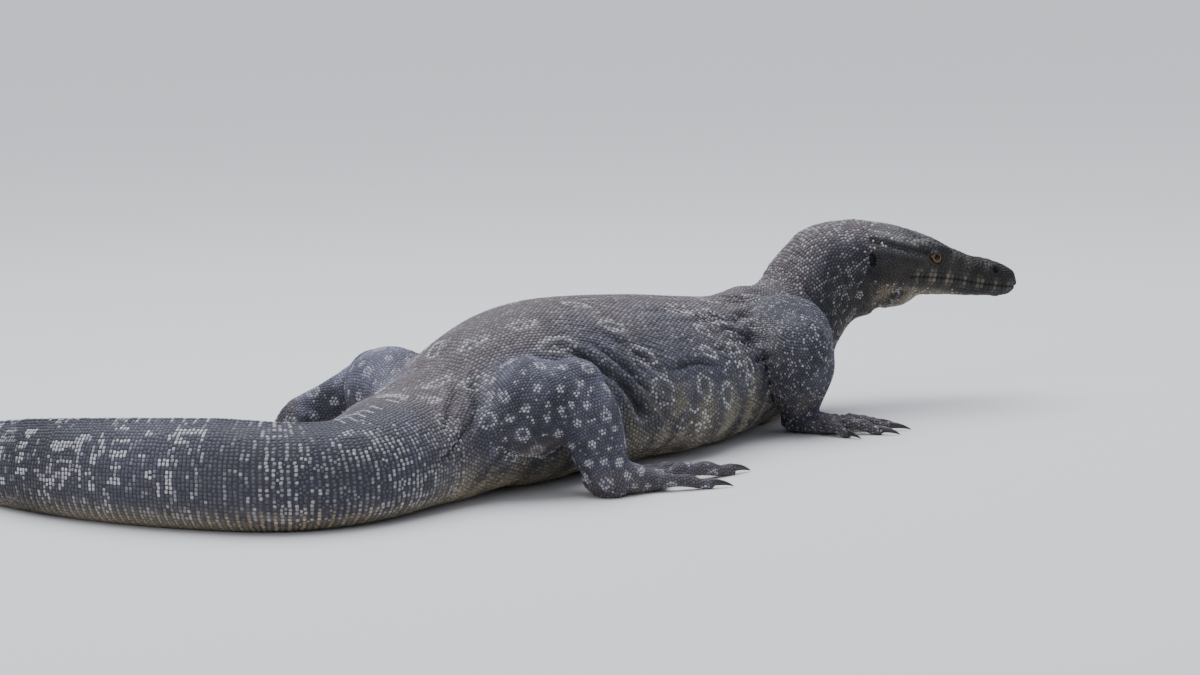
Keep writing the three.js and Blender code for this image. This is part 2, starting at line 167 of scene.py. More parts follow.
SKY_POWER = 2.1
SKY_SPREAD = math.radians(75)
sky = new_object("open_sky", bpy.data.lights.new("open_sky", "SUN"))
sky.data.energy = SKY_POWER
sky.data.angle = SKY_SPREAD
sky.data.color = (0.94, 0.96, 1)
sky.rotation_euler = (math.radians(-14), math.radians(-10), 0)
# Lamps: name, place, aim, width, power and colour
LAMPS = [
    ("overhead", (-0.3, 0.5, 2.2), (0, 0, 0), 2.4, 46, (0.9, 0.94, 1)),
    ("front_left", (-2.2, -3, 1.7), (0, 0, 0.1), 1.6, 26, (1, 0.97, 0.93)),
]
for name, place, aim, width, power, colour in LAMPS:
    lamp = new_object(name, bpy.data.lights.new(name, "AREA"))
    lamp.data.shape = "SQUARE"
    lamp.data.size = width
    lamp.data.energy = power
    lamp.data.color = colour
    lamp.location = place
    lamp.rotation_euler = (Vector(aim) - Vector(place)).to_track_quat("-Z", "Y").to_euler()


# The long body: one muscular tube from the nape to the tip of the tail, broad and low over the
# ribs, squarer at the hips, and flattened from side to side along the tail, with a low crest.
TRUNK = 480
HIP_TO_VENT = 70
NECK = 190
HEAD = 158
TAIL = 1230
SHOULDER = TRUNK / 2
HIP = -TRUNK / 2
VENT = HIP - HIP_TO_VENT
SKULL = SHOULDER + NECK
TIP = VENT - TAIL
SINK = 1
# How far the smooth forms lie under the tops of the scales
COAT_DEPTH = 0.5


def through(rows):
    """A smooth curve through rows of [place, value, ...], which gives a row of values a place"""
    table = np.array(rows, float)
    places, values = table[:, 0], table[:, 1:]
    before = np.maximum(np.arange(len(table)) - 1, 0)
    after = np.minimum(np.arange(len(table)) + 1, len(table) - 1)
    slopes = (values[after] - values[before]) / (places[after] - places[before])[:, None]

    def at(place):
        place = np.atleast_1d(np.asarray(place, float))
        i = np.clip(np.searchsorted(places, place) - 1, 0, len(table) - 2)
        step = places[i + 1] - places[i]
        t = np.clip((place - places[i]) / step, 0, 1)[:, None]
        start = 2 * t**3 - 3 * t**2 + 1
        rise = slopes[i] * step[:, None] * (t**3 - 2 * t**2 + t)
        fall = slopes[i + 1] * step[:, None] * (t**3 - t**2)
        return start * values[i] + rise + (1 - start) * values[i + 1] + fall

    return at


def bend(value, power):
    """A power that keeps the sign, which squares (under 1) or sharpens (over 1) an ellipse"""
    return np.sign(value) * np.abs(value) ** power


# The way the spine heads, seen from above, in degrees from +X
heading = through([
    [TIP, 30], [TIP + 170, 26], [TIP + 420, -6], [VENT - 580, -38], [VENT - 430, -48],
    [VENT - 340, -38], [VENT - 240, -26], [VENT - 165, -12], [VENT - 100, 34], [VENT - 35, 62],
    [HIP, 55], [0, 52], [SHOULDER, 52], [SHOULDER + 50, 46], [SHOULDER + 115, 26], [SKULL, 10],
])
# Half the width, the height above and below the widest line, how far the underside is off the
# floor, the powers that square the underside and sharpen the top, and the lean of the section
section = through([
    [TIP, 2, 2.6, 2.4, 0, 0.9, 1, 0], [TIP + 170, 7, 9.5, 8, 0, 0.85, 1.1, 0],
    [TIP + 400, 12.5, 20, 15, 0, 0.8, 1.2, 0], [TIP + 640, 18.5, 31, 23, 0, 0.8, 1.2, 0],
    [VENT - 400, 28, 45, 35, 0, 0.76, 1.1, 0], [VENT - 200, 40, 53, 40, 0, 0.7, 1, 0],
    [VENT - 90, 52, 47, 41, 0, 0.66, 0.9, 0], [VENT - 30, 60, 51, 44, 0, 0.66, 0.9, 0],
    [VENT, 66, 52, 47, 0, 0.68, 0.9, 0], [VENT + 30, 71, 52, 50, 0, 0.7, 0.95, 0],
    [HIP, 77, 62, 53, 0, 0.7, 1, 0], [-200, 84, 83, 55, 0, 0.7, 1.05, 0],
    [-150, 92, 96, 57, 0, 0.7, 1, 0], [-105, 99, 100.5, 58, 0, 0.7, 1, 0],
    [-55, 104, 99.5, 58, 0, 0.7, 1, 0], [50, 103, 90, 58, 0, 0.7, 1, 0],
    [140, 87, 79, 57, 0, 0.72, 1, 0], [190, 68, 75, 56, 0, 0.74, 1, 0],
    [SHOULDER, 56, 80, 55, 0, 0.78, 1, 6], [SHOULDER + 40, 52, 71, 57, 8, 0.86, 1, 18],
    [SHOULDER + 78, 48, 53, 60, 30, 0.95, 1, 29], [SHOULDER + 114, 45, 42, 64, 58, 1, 1, 33],
    [SHOULDER + 150, 42, 41, 64, 82, 1, 1, 24], [SKULL, 40, 37, 60, 93, 1, 1, 6],
])
keel = through([[TIP, 0], [TIP + 120, 1.6], [VENT - 420, 4], [VENT - 120, 3], [VENT + 40, 0]])
KEEL_WIDTH = 3.5
SPINE_STEP = 2


def centre_height(s):
    form = section(s)
    return form[:, 3] + form[:, 2] - np.where(np.asarray(s) < SHOULDER, SINK, 0)


def walk(end):
    """The centre line from the middle of the trunk, stepped along the headings"""
    way = np.sign(end)
    s = np.arange(0, abs(end) + 2 * SPINE_STEP, SPINE_STEP) * way
    climb = np.diff(centre_height(s))
    run = np.sqrt(np.maximum(SPINE_STEP**2 - climb**2, 0)) * way
    turn = np.radians(heading(s[:-1] + way * SPINE_STEP / 2)[:, 0])
    x = np.concatenate([[0], np.cumsum(run * np.cos(turn))])
    y = np.concatenate([[0], np.cumsum(run * np.sin(turn))])
    return np.stack([s, x, y, centre_height(s)], 1)


centre_line = np.concatenate([walk(TIP)[:0:-1], walk(SKULL)])


def facing(middle, turn, tip):
    """Frames that head a way in degrees from +X, tipped up: middle, ahead, left and up"""
    a, b = np.radians(turn), np.radians(tip)
    ahead = np.stack([np.cos(a) * np.cos(b), np.sin(a) * np.cos(b), np.sin(b)], -1)
    left = np.stack([-np.sin(a), np.cos(a), np.zeros_like(a)], -1)
    return middle, ahead, left, np.cross(ahead, left)


def spine(s):
    middle = np.stack([np.interp(s, centre_line[:, 0], centre_line[:, k]) for k in (1, 2, 3)], -1)
    return facing(middle, heading(s)[:, 0], section(s)[:, 6])


def body_surface(s, angle):
    """Points of the long body, by the place along the spine and the angle from its top"""
    half, above, below, _, squared, sharp, _ = section(s).T
    middle, _, left, up = spine(s)
    across, rise = np.sin(angle), np.cos(angle)
    top = rise > 0
    side = (half - COAT_DEPTH) * bend(across, np.where(top, sharp, squared))
    crest = np.where(s < VENT + 40, np.maximum(keel(s)[:, 0], 0), 0)
    crest = crest * np.exp(-((side / KEEL_WIDTH) ** 2)) * top
    high = (np.where(top, above, below) - COAT_DEPTH) * bend(rise, np.where(top, 1, squared))
    return middle + left * side[:, None] + up * (high + crest)[:, None]


def shell(surface, places, sides):
    """A closed mesh of a surface: a ring of points at each place, and a point on each end"""
    angle = np.arange(sides) * 2 * math.pi / sides
    rings, turns = np.meshgrid(places, angle, indexing="ij")
    points = surface(rings.ravel(), turns.ravel())
    ends = [points[:sides].mean(0), points[-sides:].mean(0)]
    j = np.arange(sides)
    k = (j + 1) % sides
    faces = []
    for i in range(0, len(points) - sides, sides):
        faces += np.stack([i + j, i + k, i + sides + k, i + sides + j], 1).tolist()
    last = len(points) - sides
    faces += [[b, a, len(points)] for a, b in zip(j.tolist(), k.tolist())]
    faces += [[a + last, b + last, len(points) + 1] for a, b in zip(j.tolist(), k.tolist())]
    return np.concatenate([points, ends]), faces


shells = [shell(body_surface, np.arange(TIP, SKULL + 1, 4.0), 112)]


# The head: a long flat-topped wedge of bone under tight skin, with a brow ridge over each eye,
# swollen jaw muscles behind, and nostrils set forward near the rounded tip of the snout.
HEAD_HEADING = 7.0
HEAD_PITCH = -12.0
skull_middle = spine(np.array([SKULL]))[0][0]
skull = [skull_middle] + [v[0] for v in facing(None, np.array([HEAD_HEADING]), np.array([HEAD_PITCH]))[1:]]
# Half the width, the height above and below the skull's line, and the powers that square them
head_section = through([
    [-20, 38, 33, 44, 1, 1], [0, 39, 34.5, 48, 0.95, 0.95], [20, 39, 35, 44, 0.88, 0.92],
    [42, 36, 33, 35, 0.82, 0.9], [65, 30, 29, 29.5, 0.76, 0.9], [86, 25.5, 22.5, 26, 0.76, 0.9],
    [107, 23, 18, 23, 0.8, 0.9], [128, 21.5, 17, 20, 0.82, 0.9], [146, 19, 13.5, 17, 0.86, 0.9],
    [155, 13, 8.5, 12, 0.95, 0.95], [HEAD, 5, 3, 5, 1, 1],
])


def on_skull(ahead, left, up):
    """Points of the head's own frame as points of the scene"""
    ahead, left, up = (np.atleast_1d(v)[:, None] for v in (ahead, left, up))
    return skull[0] + skull[1] * ahead + skull[2] * left + skull[3] * up


def in_skull(points):
    """Points of the scene as points of the head's own frame: ahead, left and up"""
    return np.stack([(points - skull[0]) @ skull[k] for k in (1, 2, 3)], -1)


def head_surface(x, angle):
    half, above, below, top, under = head_section(x).T
    across, rise = np.sin(angle), np.cos(angle)
    power = np.where(rise > 0, top, under)
    high = (np.where(rise > 0, above, below) - COAT_DEPTH) * bend(rise, power)
    return on_skull(x, (half - COAT_DEPTH) * bend(across, power), high)


def ball(centre, radii, turn=(0, 0, 0)):
    """A closed ellipsoid in the head's frame, turned by angles in degrees"""
    spin = Matrix.Rotation(math.radians(turn[2]), 3, "Z") @ Matrix.Rotation(math.radians(turn[1]), 3, "Y")
    spin = np.array(spin)

    def surface(t, angle):
        ring = np.sqrt(np.maximum(1 - t**2, 0))
        local = np.stack([t, ring * np.sin(angle), ring * np.cos(angle)], -1) * radii
        return on_skull(*(local @ spin.T + centre).T)

    return shell(surface, np.sin(np.linspace(-1.5, 1.5, 14)), 20)


EYE_RADIUS = 8.6
EYE_PLACE = (67, 23.5, 11)
head_places = np.concatenate([np.arange(-20, 150, 3.0), [151, 153, 155, 156.5, HEAD]])
shells.append(shell(head_surface, head_places, 64))
shells.append(ball((16, 0, -20), (46, 31, 30), (0, 4, 0)))
for side in (1, -1):
    # the brow, the socket's rim, the nostril's rim and the jaw muscle
    shells.append(ball((64, side * 23, 21.5), (21, 5.2, 4.6), (0, 6, -side * 9)))
    shells.append(ball((67, side * 24.5, 10), (13, 5.5, 10), (0, 6, -side * 10)))
    shells.append(ball((131, side * 16.2, 8.4), (8, 4.2, 5.2), (0, 20, -side * 8)))
    shells.append(ball((22, side * 30, -8), (26, 11, 20), (0, 20, -side * 4)))


# The legs: short and heavy, each an upper and a lower length of muscle bent outwards at the
# knee or elbow, on a broad foot with five long toes that splay and arch over the floor.
def limb_surface(start, end, outside, rows):
    """Points of one length of a limb, by its share from joint to joint and the angle round it"""
    length = np.linalg.norm(end - start)
    ahead = (end - start) / length
    thick = outside - ahead * (outside @ ahead)
    thick = thick / np.linalg.norm(thick)
    wide = np.cross(thick, ahead)
    form = through(rows)
    first, last = rows[0][1] / length, rows[-1][1] / length

    def surface(t, angle):
        half, thickness, off = form(np.clip(t, 0, 1)).T
        past = np.where(t < 0, -t / first, np.where(t > 1, (t - 1) / last, 0))
        ends = np.sqrt(np.maximum(1 - past**2, 0))
        across = (half - COAT_DEPTH) * ends * np.sin(angle)
        up = off + (thickness - COAT_DEPTH) * ends * np.cos(angle)
        return start + ahead * (t * length)[:, None] + wide * across[:, None] + thick * up[:, None]

    surface.span = (-first, 1 + last)
    surface.length = length
    return surface


# A sole: how far ahead of the ankle, half its width, its height, how far it lies outwards
HIND_SOLE = [
    [-22, 10, 12, 0], [-14, 17, 24, 0], [0, 23, 35, 0], [22, 26, 29, 1], [46, 28, 20, 0],
    [62, 20, 13, -2],
]
FORE_SOLE = [
    [-16, 9, 12, 0], [-9, 16, 22, 0], [4, 20, 26, 0], [20, 24, 20, 0], [38, 23, 15, 0],
    [48, 15, 10, 0],
]
# Toes from the inner: how far along and across the sole each is rooted, its turn from the
# foot's heading, its length, half its thickness, its arch and the length of its claw
HIND_TOES = [
    [44, 21, 30, 40, 7.2, 2, 19], [54, 12, 15, 56, 7.6, 3, 21], [58, 2, 4, 76, 8, 4, 23],
    [54, -9, -8, 94, 8.2, 5, 24], [26, -17, -36, 66, 7.4, 4, 21],
]
FORE_TOES = [
    [26, 17, 44, 32, 6.8, 2, 19], [34, 10, 20, 46, 7.2, 3, 21], [36, 1, 2, 54, 7.4, 4, 22],
    [33, -8, -16, 52, 7.4, 4, 21], [24, -16, -42, 38, 6.8, 3, 19],
]
# A limb's rows: share of the length, half the width and the thickness, how far the muscle
# lies off the bone's line
THIGH = [[0, 36, 22, 0], [0.2, 42, 29, 0], [0.45, 48, 41, 5], [0.7, 44, 42, 7], [1, 29, 28, 0]]
SHIN = [[0, 29, 28, 0], [0.3, 32, 30, 2], [0.65, 29, 26, 2], [1, 25, 20, 0]]
TUCKED_SHIN = [[0, 27, 26, 0], [0.3, 23, 19, 0], [0.65, 19, 17, 0], [1, 17.5, 16.5, 0]]
UPPER_ARM = [[0, 42, 42, 0], [0.35, 43, 41, 3], [0.7, 38, 37, 2], [1, 33, 32, 0]]
FOREARM = [[0, 33, 32, 0], [0.3, 33, 31, 2], [0.7, 24, 22, 1], [1, 17, 15, 0]]
# Legs: name, outer side, upper joint (along the spine, across, height), middle and lower joint
# from it (ahead, outwards, height), and the foot's heading
LEGS = [
    ("right_hind", -1, (HIP, 48, 52), (60, 57, 92), (56, 94, 18), 48),
    ("left_hind", 1, (HIP, 48, 58), (72, 78, 86), (26, 132, 56), 118),
    ("right_fore", -1, (SHOULDER - 12, 50, 88), (-50, 56, 84), (-27, 36, 15), -8),
    ("left_fore", 1, (SHOULDER - 12, 46, 72), (-52, 56, 66), (-20, 66, 15), 58),
]
UP = np.array([0.0, 0.0, 1.0])


def flat_way(turn):
    return np.array([math.cos(turn), math.sin(turn), 0]), np.array([-math.sin(turn), math.cos(turn), 0])


def sole_surface(ankle, turn, outer, rows):
    ahead, left = flat_way(turn)
    form = through(rows)

    def surface(x, angle):
        half, high, skew = form(x).T
        across, rise = np.sin(angle), np.cos(angle)
        side = outer * skew + (half - COAT_DEPTH) * bend(across, 0.85)
        middle = np.maximum(high / 2 - SINK / 2, ankle[2] - 2 - np.maximum(x, 0))
        z = middle + np.where(rise > 0, rise, bend(rise, 0.7)) * (high / 2 - COAT_DEPTH)
        flat = np.array([ankle[0], ankle[1], 0])
        return flat + ahead * x[:, None] + left * side[:, None] + UP * z[:, None]

    return surface


def toe_surface(root, turn, length, thick, arch):
    ahead, left = flat_way(turn)

    def radius(t):
        return thick * (1 - 0.34 * t) * (1 + 0.08 * np.cos(t * 6 * math.pi))

    def middle(t):
        lift = radius(t) - SINK / 2 + arch * np.sin(math.pi * np.minimum(t * 1.1, 1)) ** 1.5
        flat = np.array([root[0], root[1], 0])
        return flat + ahead * (t * length)[:, None] + UP * np.maximum(lift, 0)[:, None]

    def surface(t, angle):
        inner = np.maximum(t, 0)
        round_end = np.sqrt(1 - 0.3 * np.clip((t - 0.9) / 0.1, 0, 1) ** 2)
        r = ((radius(inner) - COAT_DEPTH) * round_end)[:, None]
        back = ahead * (np.minimum(t, 0) * length)[:, None]
        return middle(inner) + back + left * r * np.sin(angle)[:, None] + UP * r * np.cos(angle)[:, None]

    surface.end = middle(np.array([1.0]))[0]
    surface.end_radius = float(radius(1.0)) * 0.86
    surface.ahead, surface.left, surface.length = ahead, left, length
    return surface


legs = {}
for name, outer, at, knee, ankle, turn in LEGS:
    middle, ahead, left, _ = (v[0] for v in spine(np.array([float(at[0])])))
    ahead = ahead * (1, 1, 0) / np.linalg.norm(ahead[:2])
    out = left * outer
    upper = np.array([*middle[:2], at[2]]) + out * at[1]
    joints = [np.array([*upper[:2], j[2]]) + ahead * j[0] + out * j[1] for j in (knee, ankle)]
    first, second = (b - a for a, b in ((upper, joints[0]), (joints[0], joints[1])))
    outside = first / np.linalg.norm(first) - second / np.linalg.norm(second)
    hind = name.endswith("hind")
    shin = TUCKED_SHIN if name == "left_hind" else SHIN
    upper_rows, lower_rows = (THIGH, shin) if hind else (UPPER_ARM, FOREARM)
    sole_rows, toe_rows = (HIND_SOLE, HIND_TOES) if hind else (FORE_SOLE, FORE_TOES)
    turn = math.radians(turn)
    foot_ahead, foot_left = flat_way(turn)
    toes = []
    for x, y, swing, length, thick, arch, _ in toe_rows:
        root = np.array([*joints[1][:2], 0]) + foot_ahead * x - foot_left * outer * y
        toes.append(toe_surface(root, turn - outer * math.radians(swing), length, thick, arch))
    legs[name] = {
        "outer": outer,
        "upper": limb_surface(upper, joints[0], outside, upper_rows),
        "lower": limb_surface(joints[0], joints[1], outside, lower_rows),
        "sole": sole_surface(joints[1], turn, outer, sole_rows),
        "sole_span": (sole_rows[0][0], sole_rows[-1][0]),
        "toes": toes,
        "claws": [row[6] for row in toe_rows],
        "foot_ahead": foot_ahead,
    }
    leg = legs[name]
    for length in ("upper", "lower"):
        start, end = leg[length].span
        round_ends = np.sin(np.linspace(0, math.pi / 2, 7))[:-1]
        places = [start * round_ends[::-1], np.linspace(0, 1, 26), 1 + (end - 1) * round_ends]
        shells.append(shell(leg[length], np.concatenate(places) * 0.999, 48))
    shells.append(shell(leg["sole"], np.arange(*leg["sole_span"], 2.5), 40))
    for toe in toes:
        shells.append(shell(toe, np.linspace(-0.12, 1, 30), 24))


# The skin: one loose dry hide over the whole animal, with no seam. It bridges the hollows where
# the legs join, hangs in folds at the neck, flank and groin, and is tight over the head.
VOXEL = 1.9 * MM
SKIN_TRIANGLES = 190000


def joined(name, parts):
    """One object from closed meshes given in millimetres"""
    points, faces, offset = [], [], 0
    for part_points, part_faces in parts:
        points.append(part_points)
        faces += [[corner + offset for corner in face] for face in part_faces]
        offset += len(part_points)
    mesh = bpy.data.meshes.new(name)
    mesh.from_pydata((np.concatenate(points) * MM).tolist(), [], faces)
    return new_object(name, mesh)


def settle(target, kind, **settings):
    """Gives an object the mesh that a modifier makes of it"""
    modifier = target.modifiers.new(kind, kind)
    for name, value in settings.items():
        setattr(modifier, name, value)
    evaluated = target.evaluated_get(bpy.context.evaluated_depsgraph_get())
    made = bpy.data.meshes.new_from_object(evaluated)
    old = target.data
    target.modifiers.clear()
    target.data = made
    bpy.data.meshes.remove(old)


def read(items, name, width, kind=float):
    """A value or a vector of each item of a mesh, as the rows of an array"""
    values = np.empty(len(items) * width, kind)
    items.foreach_get(name, values)
    return values.reshape(-1, width)


def points_of(mesh):
    return read(mesh.vertices, "co", 3) / MM


def put_points(mesh, points):
    mesh.vertices.foreach_set("co", (points * MM).ravel())
    mesh.update()


def normals_of(mesh):
    return read(mesh.vertex_normals, "vector", 3)


skin = joined("skin", shells)
settle(skin, "REMESH", mode="VOXEL", voxel_size=VOXEL, use_smooth_shade=True)
points = points_of(skin.data)
edges = read(skin.data.edges, "vertices", 2, np.int32)
degree = np.bincount(edges.ravel(), minlength=len(points)).astype(float)


def pull(points):
    """The way from each point to the middle of its neighbours"""
    sums = np.empty_like(points)
    for k in range(3):
        near = np.bincount(edges[:, 0], points[edges[:, 1], k], len(points))
        sums[:, k] = near + np.bincount(edges[:, 1], points[edges[:, 0], k], len(points))
    return sums / degree[:, None] - points


# The spine is searched at stations for many points at once, and the place is then refined
STATION_STEP = 6.0
BLOCK = 20000
stations = np.arange(TIP, SKULL + 1, STATION_STEP)


def on_body(points):
    """The place along the spine, the angle from its top (left positive), and the reach, 1 on the form"""
    middles = spine(stations)[0]
    s = np.empty(len(points))
    for start in range(0, len(points), BLOCK):
        block = points[start : start + BLOCK]
        apart = ((block**2).sum(1)[:, None] - 2 * block @ middles.T) + (middles**2).sum(1)
        s[start : start + BLOCK] = stations[apart.argmin(1)]
    for _ in range(3):
        middle, ahead, _, _ = spine(s)
        off = ((points - middle) * ahead).sum(1)
        s = np.clip(s + np.clip(off, -8, 8), TIP, SKULL)
    half, above, below, _, squared, sharp, _ = section(s).T
    middle, ahead, left, up = spine(s)
    side = ((points - middle) * left).sum(1) / half
    high = ((points - middle) * up).sum(1)
    high = high / np.where(high > 0, above, below)
    across = bend(side, 1 / np.where(high > 0, sharp, squared))
    rise = bend(high, 1 / np.where(high > 0, 1, squared))
    return s, np.arctan2(across, rise), np.hypot(across, rise)


ARC_STEP = 10.0
ARC_PARTS = 60
ARC_ANGLES = np.linspace(0, math.pi, ARC_PARTS + 1)
arc_table = []
for s in np.arange(TIP, SKULL + 1, ARC_STEP):
    ring = body_surface(np.full(len(ARC_ANGLES), s), ARC_ANGLES)
    arc_table.append(np.concatenate([[0], np.cumsum(np.linalg.norm(np.diff(ring, axis=0), axis=1))]))
arc_table = np.array(arc_table)


def arc_from_top(s, angle):
    """How far a place lies from the middle of the back, along the skin, left positive"""
    i = np.clip((s - TIP) / ARC_STEP, 0, len(arc_table) - 1.001)
    j = np.clip(np.abs(angle) / math.pi * ARC_PARTS, 0, ARC_PARTS - 0.001)
    a, b = i.astype(int), j.astype(int)
    u, v = i - a, j - b
    low = arc_table[a, b] * (1 - v) + arc_table[a, b + 1] * v
    high = arc_table[a + 1, b] * (1 - v) + arc_table[a + 1, b + 1] * v
    return np.sign(angle) * (low * (1 - u) + high * u)


class Waves:
    """Smooth seeded noise from about -1 to 1, made of waves about one size"""

    def __init__(self, seed, size, count=14):
        draw = np.random.default_rng(seed)
        ways = draw.normal(size=(count, 3))
        ways /= np.linalg.norm(ways, axis=1)[:, None]
        self.ways = ways * 2 * math.pi / (size * draw.uniform(0.7, 1.5, count))[:, None]
        self.starts = draw.uniform(0, 2 * math.pi, count)

    def __call__(self, points):
        return np.sin(points @ self.ways.T + self.starts).sum(1) / math.sqrt(len(self.starts) / 1.6)


FEET = ("right_foot", "left_foot", "right_hand", "left_hand")


def in_foot(points):
    """True where a point lies on a foot or hand"""
    found = np.zeros(len(points), bool)
    for node in FEET:
        low, high = (np.array(corner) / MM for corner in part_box(node))
        found |= ((points > low - 3) & (points < high + 3)).all(1)
    s, angle, reach = on_body(points[found])
    found[np.nonzero(found)[0][reach < 1.06]] = False
    return found


def ramp(value, low, high):
    """A smooth rise from 0 at one value to 1 at another"""
    t = np.clip((value - low) / (high - low), 0, 1)
    return t * t * (3 - 2 * t)


def hump(*offsets):
    """A smooth hump, 1 in the middle, by how many half widths a place lies off it each way"""
    return np.exp(-sum(off**2 for off in offsets))


def by_head(points, behind=-2):
    """True where points lie on the head, from so far ahead of the back of the skull"""
    return (np.linalg.norm(points - skull[0], axis=1) < HEAD + 20) & (in_skull(points)[:, 0] > behind)


# the hide bridges the hollows between the forms, and is then smoothed without shrinking
BRIDGE_ROUNDS = 70
foot = in_foot(points)
head_ahead, _, head_up = in_skull(points).T
on_head = by_head(points, -12)
throat = ramp(-head_up, 6, 22) * (1 - ramp(head_ahead, 40, 75))
tight = 0.9 * ramp(head_ahead, -12, 25) * (1 - throat)
loose = np.where(foot, 0.12, np.where(on_head, 1 - tight, 1))
for i in range(BRIDGE_ROUNDS):
    if i % 6 == 0:
        put_points(skin.data, points)
        normals = normals_of(skin.data)
    out = (pull(points) * normals).sum(1)
    points += normals * (np.maximum(out, 0) * loose)[:, None]
for share in (0.5, -0.53) * 4:
    points += share * pull(points)

# Folds in the hide: start and end, each as the place along the spine and the arc from the
# middle of the back (left positive), then depth and half width
FOLDS = [
    (-140, -78, -90, -128, 4.6, 4.6), (-100, -116, -66, -164, 5, 5),
    (-124, -96, -74, -146, 3.2, 3.6), (-106, -82, -54, -150, 3.4, 4),
    (-84, -74, -36, -124, 2.4, 4.5), (-62, -140, -30, -176, 2.2, 5),
    (-250, -30, -330, -62, 2.4, 4), (-225, -34, -300, -78, 2.8, 5),
    (-262, -64, -352, -84, 2.4, 4), (-24, -121, 58, -126, 2.8, 4), (58, -104, 104, -118, 2.2, 4),
    (62, -70, 128, -63, 3, 4.5), (122, -62, 196, -44, 2.8, 4.5), (88, -84, 150, -76, 2.4, 4),
    (100, -98, 168, -72, 3.2, 7), (120, -112, 190, -96, 2.6, 4), (180, -8, 250, -52, 2.6, 4),
    (160, -22, 236, -40, 1.8, 3.5), (240, -100, 258, -26, 3, 4), (262, -112, 276, -20, 2.4, 4),
    (-138, 80, -66, 152, 5, 5), (-122, 98, -50, 160, 4, 4), (-100, 84, -46, 140, 3, 4),
    (-250, 32, -330, 64, 2.4, 4), (62, 70, 128, 62, 2.6, 4.5), (122, 62, 196, 44, 3, 4.5),
    (120, 102, 190, 88, 2.6, 4), (242, 100, 258, 28, 2.6, 4), (262, 112, 276, 22, 2, 4),
]


def folds_at(points, s, arc):
    """How deep the folds cut in, and how far their lips stand out, at places on the body"""
    sway = arc + 3 * Waves(11, 60)(points)
    valley, lips = np.zeros(len(points)), np.zeros(len(points))
    for s0, arc0, s1, arc1, depth, width in FOLDS:
        along = np.array([s1 - s0, arc1 - arc0], float)
        length = np.linalg.norm(along)
        along /= length
        ds, da = s - s0, sway - arc0
        t = (ds * along[0] + da * along[1]) / length
        off = (da * along[0] - ds * along[1]) / width
        strength = depth * ramp(t, -0.15, 0.35) * (1 - ramp(t, 0.65, 1.15))
        valley = np.maximum(valley, strength * hump(off))
        lips = np.maximum(lips, strength * hump(np.abs(off) - 1.9))
    return valley, lips


NECK_CREASE = 13
BACK_CREASE = 10.5


def hide_relief(points):
    """How far the loose hide stands out of the form, or in, at points of the skin"""
    s, angle, reach = on_body(points)
    arc = arc_from_top(s, angle)
    valley, lips = folds_at(points, s, arc)
    relief = (0.5 * lips - valley) * (1 - 0.85 * ramp(reach, 1.05, 1.16))
    warp = Waves(16, 60)(points) * 5
    body = (reach > 0.9) & (reach < 1.12)
    # rings of creases round the neck, deeper on the inner side of its bend
    neck = ramp(s, SHOULDER + 10, SHOULDER + 50) * (1 - ramp(s, SKULL - 20, SKULL + 4))
    rings = np.sin((s + warp * 1.2) * 2 * math.pi / NECK_CREASE)
    inner = 0.5 + 0.5 * ramp(-arc, -20, 70)
    relief += body * neck * inner * 0.75 * rings * (0.6 + 0.4 * Waves(12, 30)(points))
    # fine lengthwise wrinkles on the back and flanks
    trunk = ramp(s, VENT - 20, HIP) * (1 - ramp(s, SHOULDER - 10, SHOULDER + 30))
    lines = np.sin((arc + 0.16 * s + warp * 1.3) * 2 * math.pi / BACK_CREASE)
    patchy = 0.55 + 0.45 * Waves(13, 70)(points)
    relief += body * trunk * (0.16 + 0.34 * ramp(np.abs(arc), 30, 80)) * lines * patchy
    # slack bulges low on the flanks
    relief += body * trunk * 1.3 * Waves(14, 55)(points) * ramp(np.abs(arc), 60, 120)
    return relief


calm = on_head | foot
put_points(skin.data, points)
points += normals_of(skin.data) * np.where(calm, 0, hide_relief(points))[:, None]
put_points(skin.data, points)

# The head's skin gets a finer mesh, and then its mouth, nostrils, ears and lids.
work = bmesh.new()
work.from_mesh(skin.data)
work.verts.ensure_lookup_table()
fine = [e for e in work.edges if on_head[e.verts[0].index] and on_head[e.verts[1].index]]
bmesh.ops.subdivide_edges(work, edges=fine, cuts=1, use_grid_fill=True)
work.to_mesh(skin.data)
work.free()
points = points_of(skin.data)

mouth_line = through([[40, -12.5], [56, -9.6], [90, -6.8], [125, -6.6], [160, -4]])
MOUTH_CORNER = 44
NOSTRIL = (132, 9.0)
EAR = (2, -1)
LID_HALF_LENGTH = 7.4
LID_HALF_HEIGHT = 4.6
LID_POINT = 1.5
LID_SLANT = 0.12


def nostril_share(x, z):
    """How far a place on the head's side lies from the nostril's middle, its edge being 1"""
    ahead = (x - NOSTRIL[0]) * 0.87 - (z - NOSTRIL[1]) * 0.5
    up = (x - NOSTRIL[0]) * 0.5 + (z - NOSTRIL[1]) * 0.87
    return np.hypot(ahead / 4.2, up / 2.6)


def ear_share(x, z, half_length, half_height):
    """How far a place on the head's side lies from the ear's middle, its edge being 1"""
    return np.hypot((x - EAR[0] + 0.25 * (z - EAR[1])) / half_length, (z - EAR[1]) / half_height)


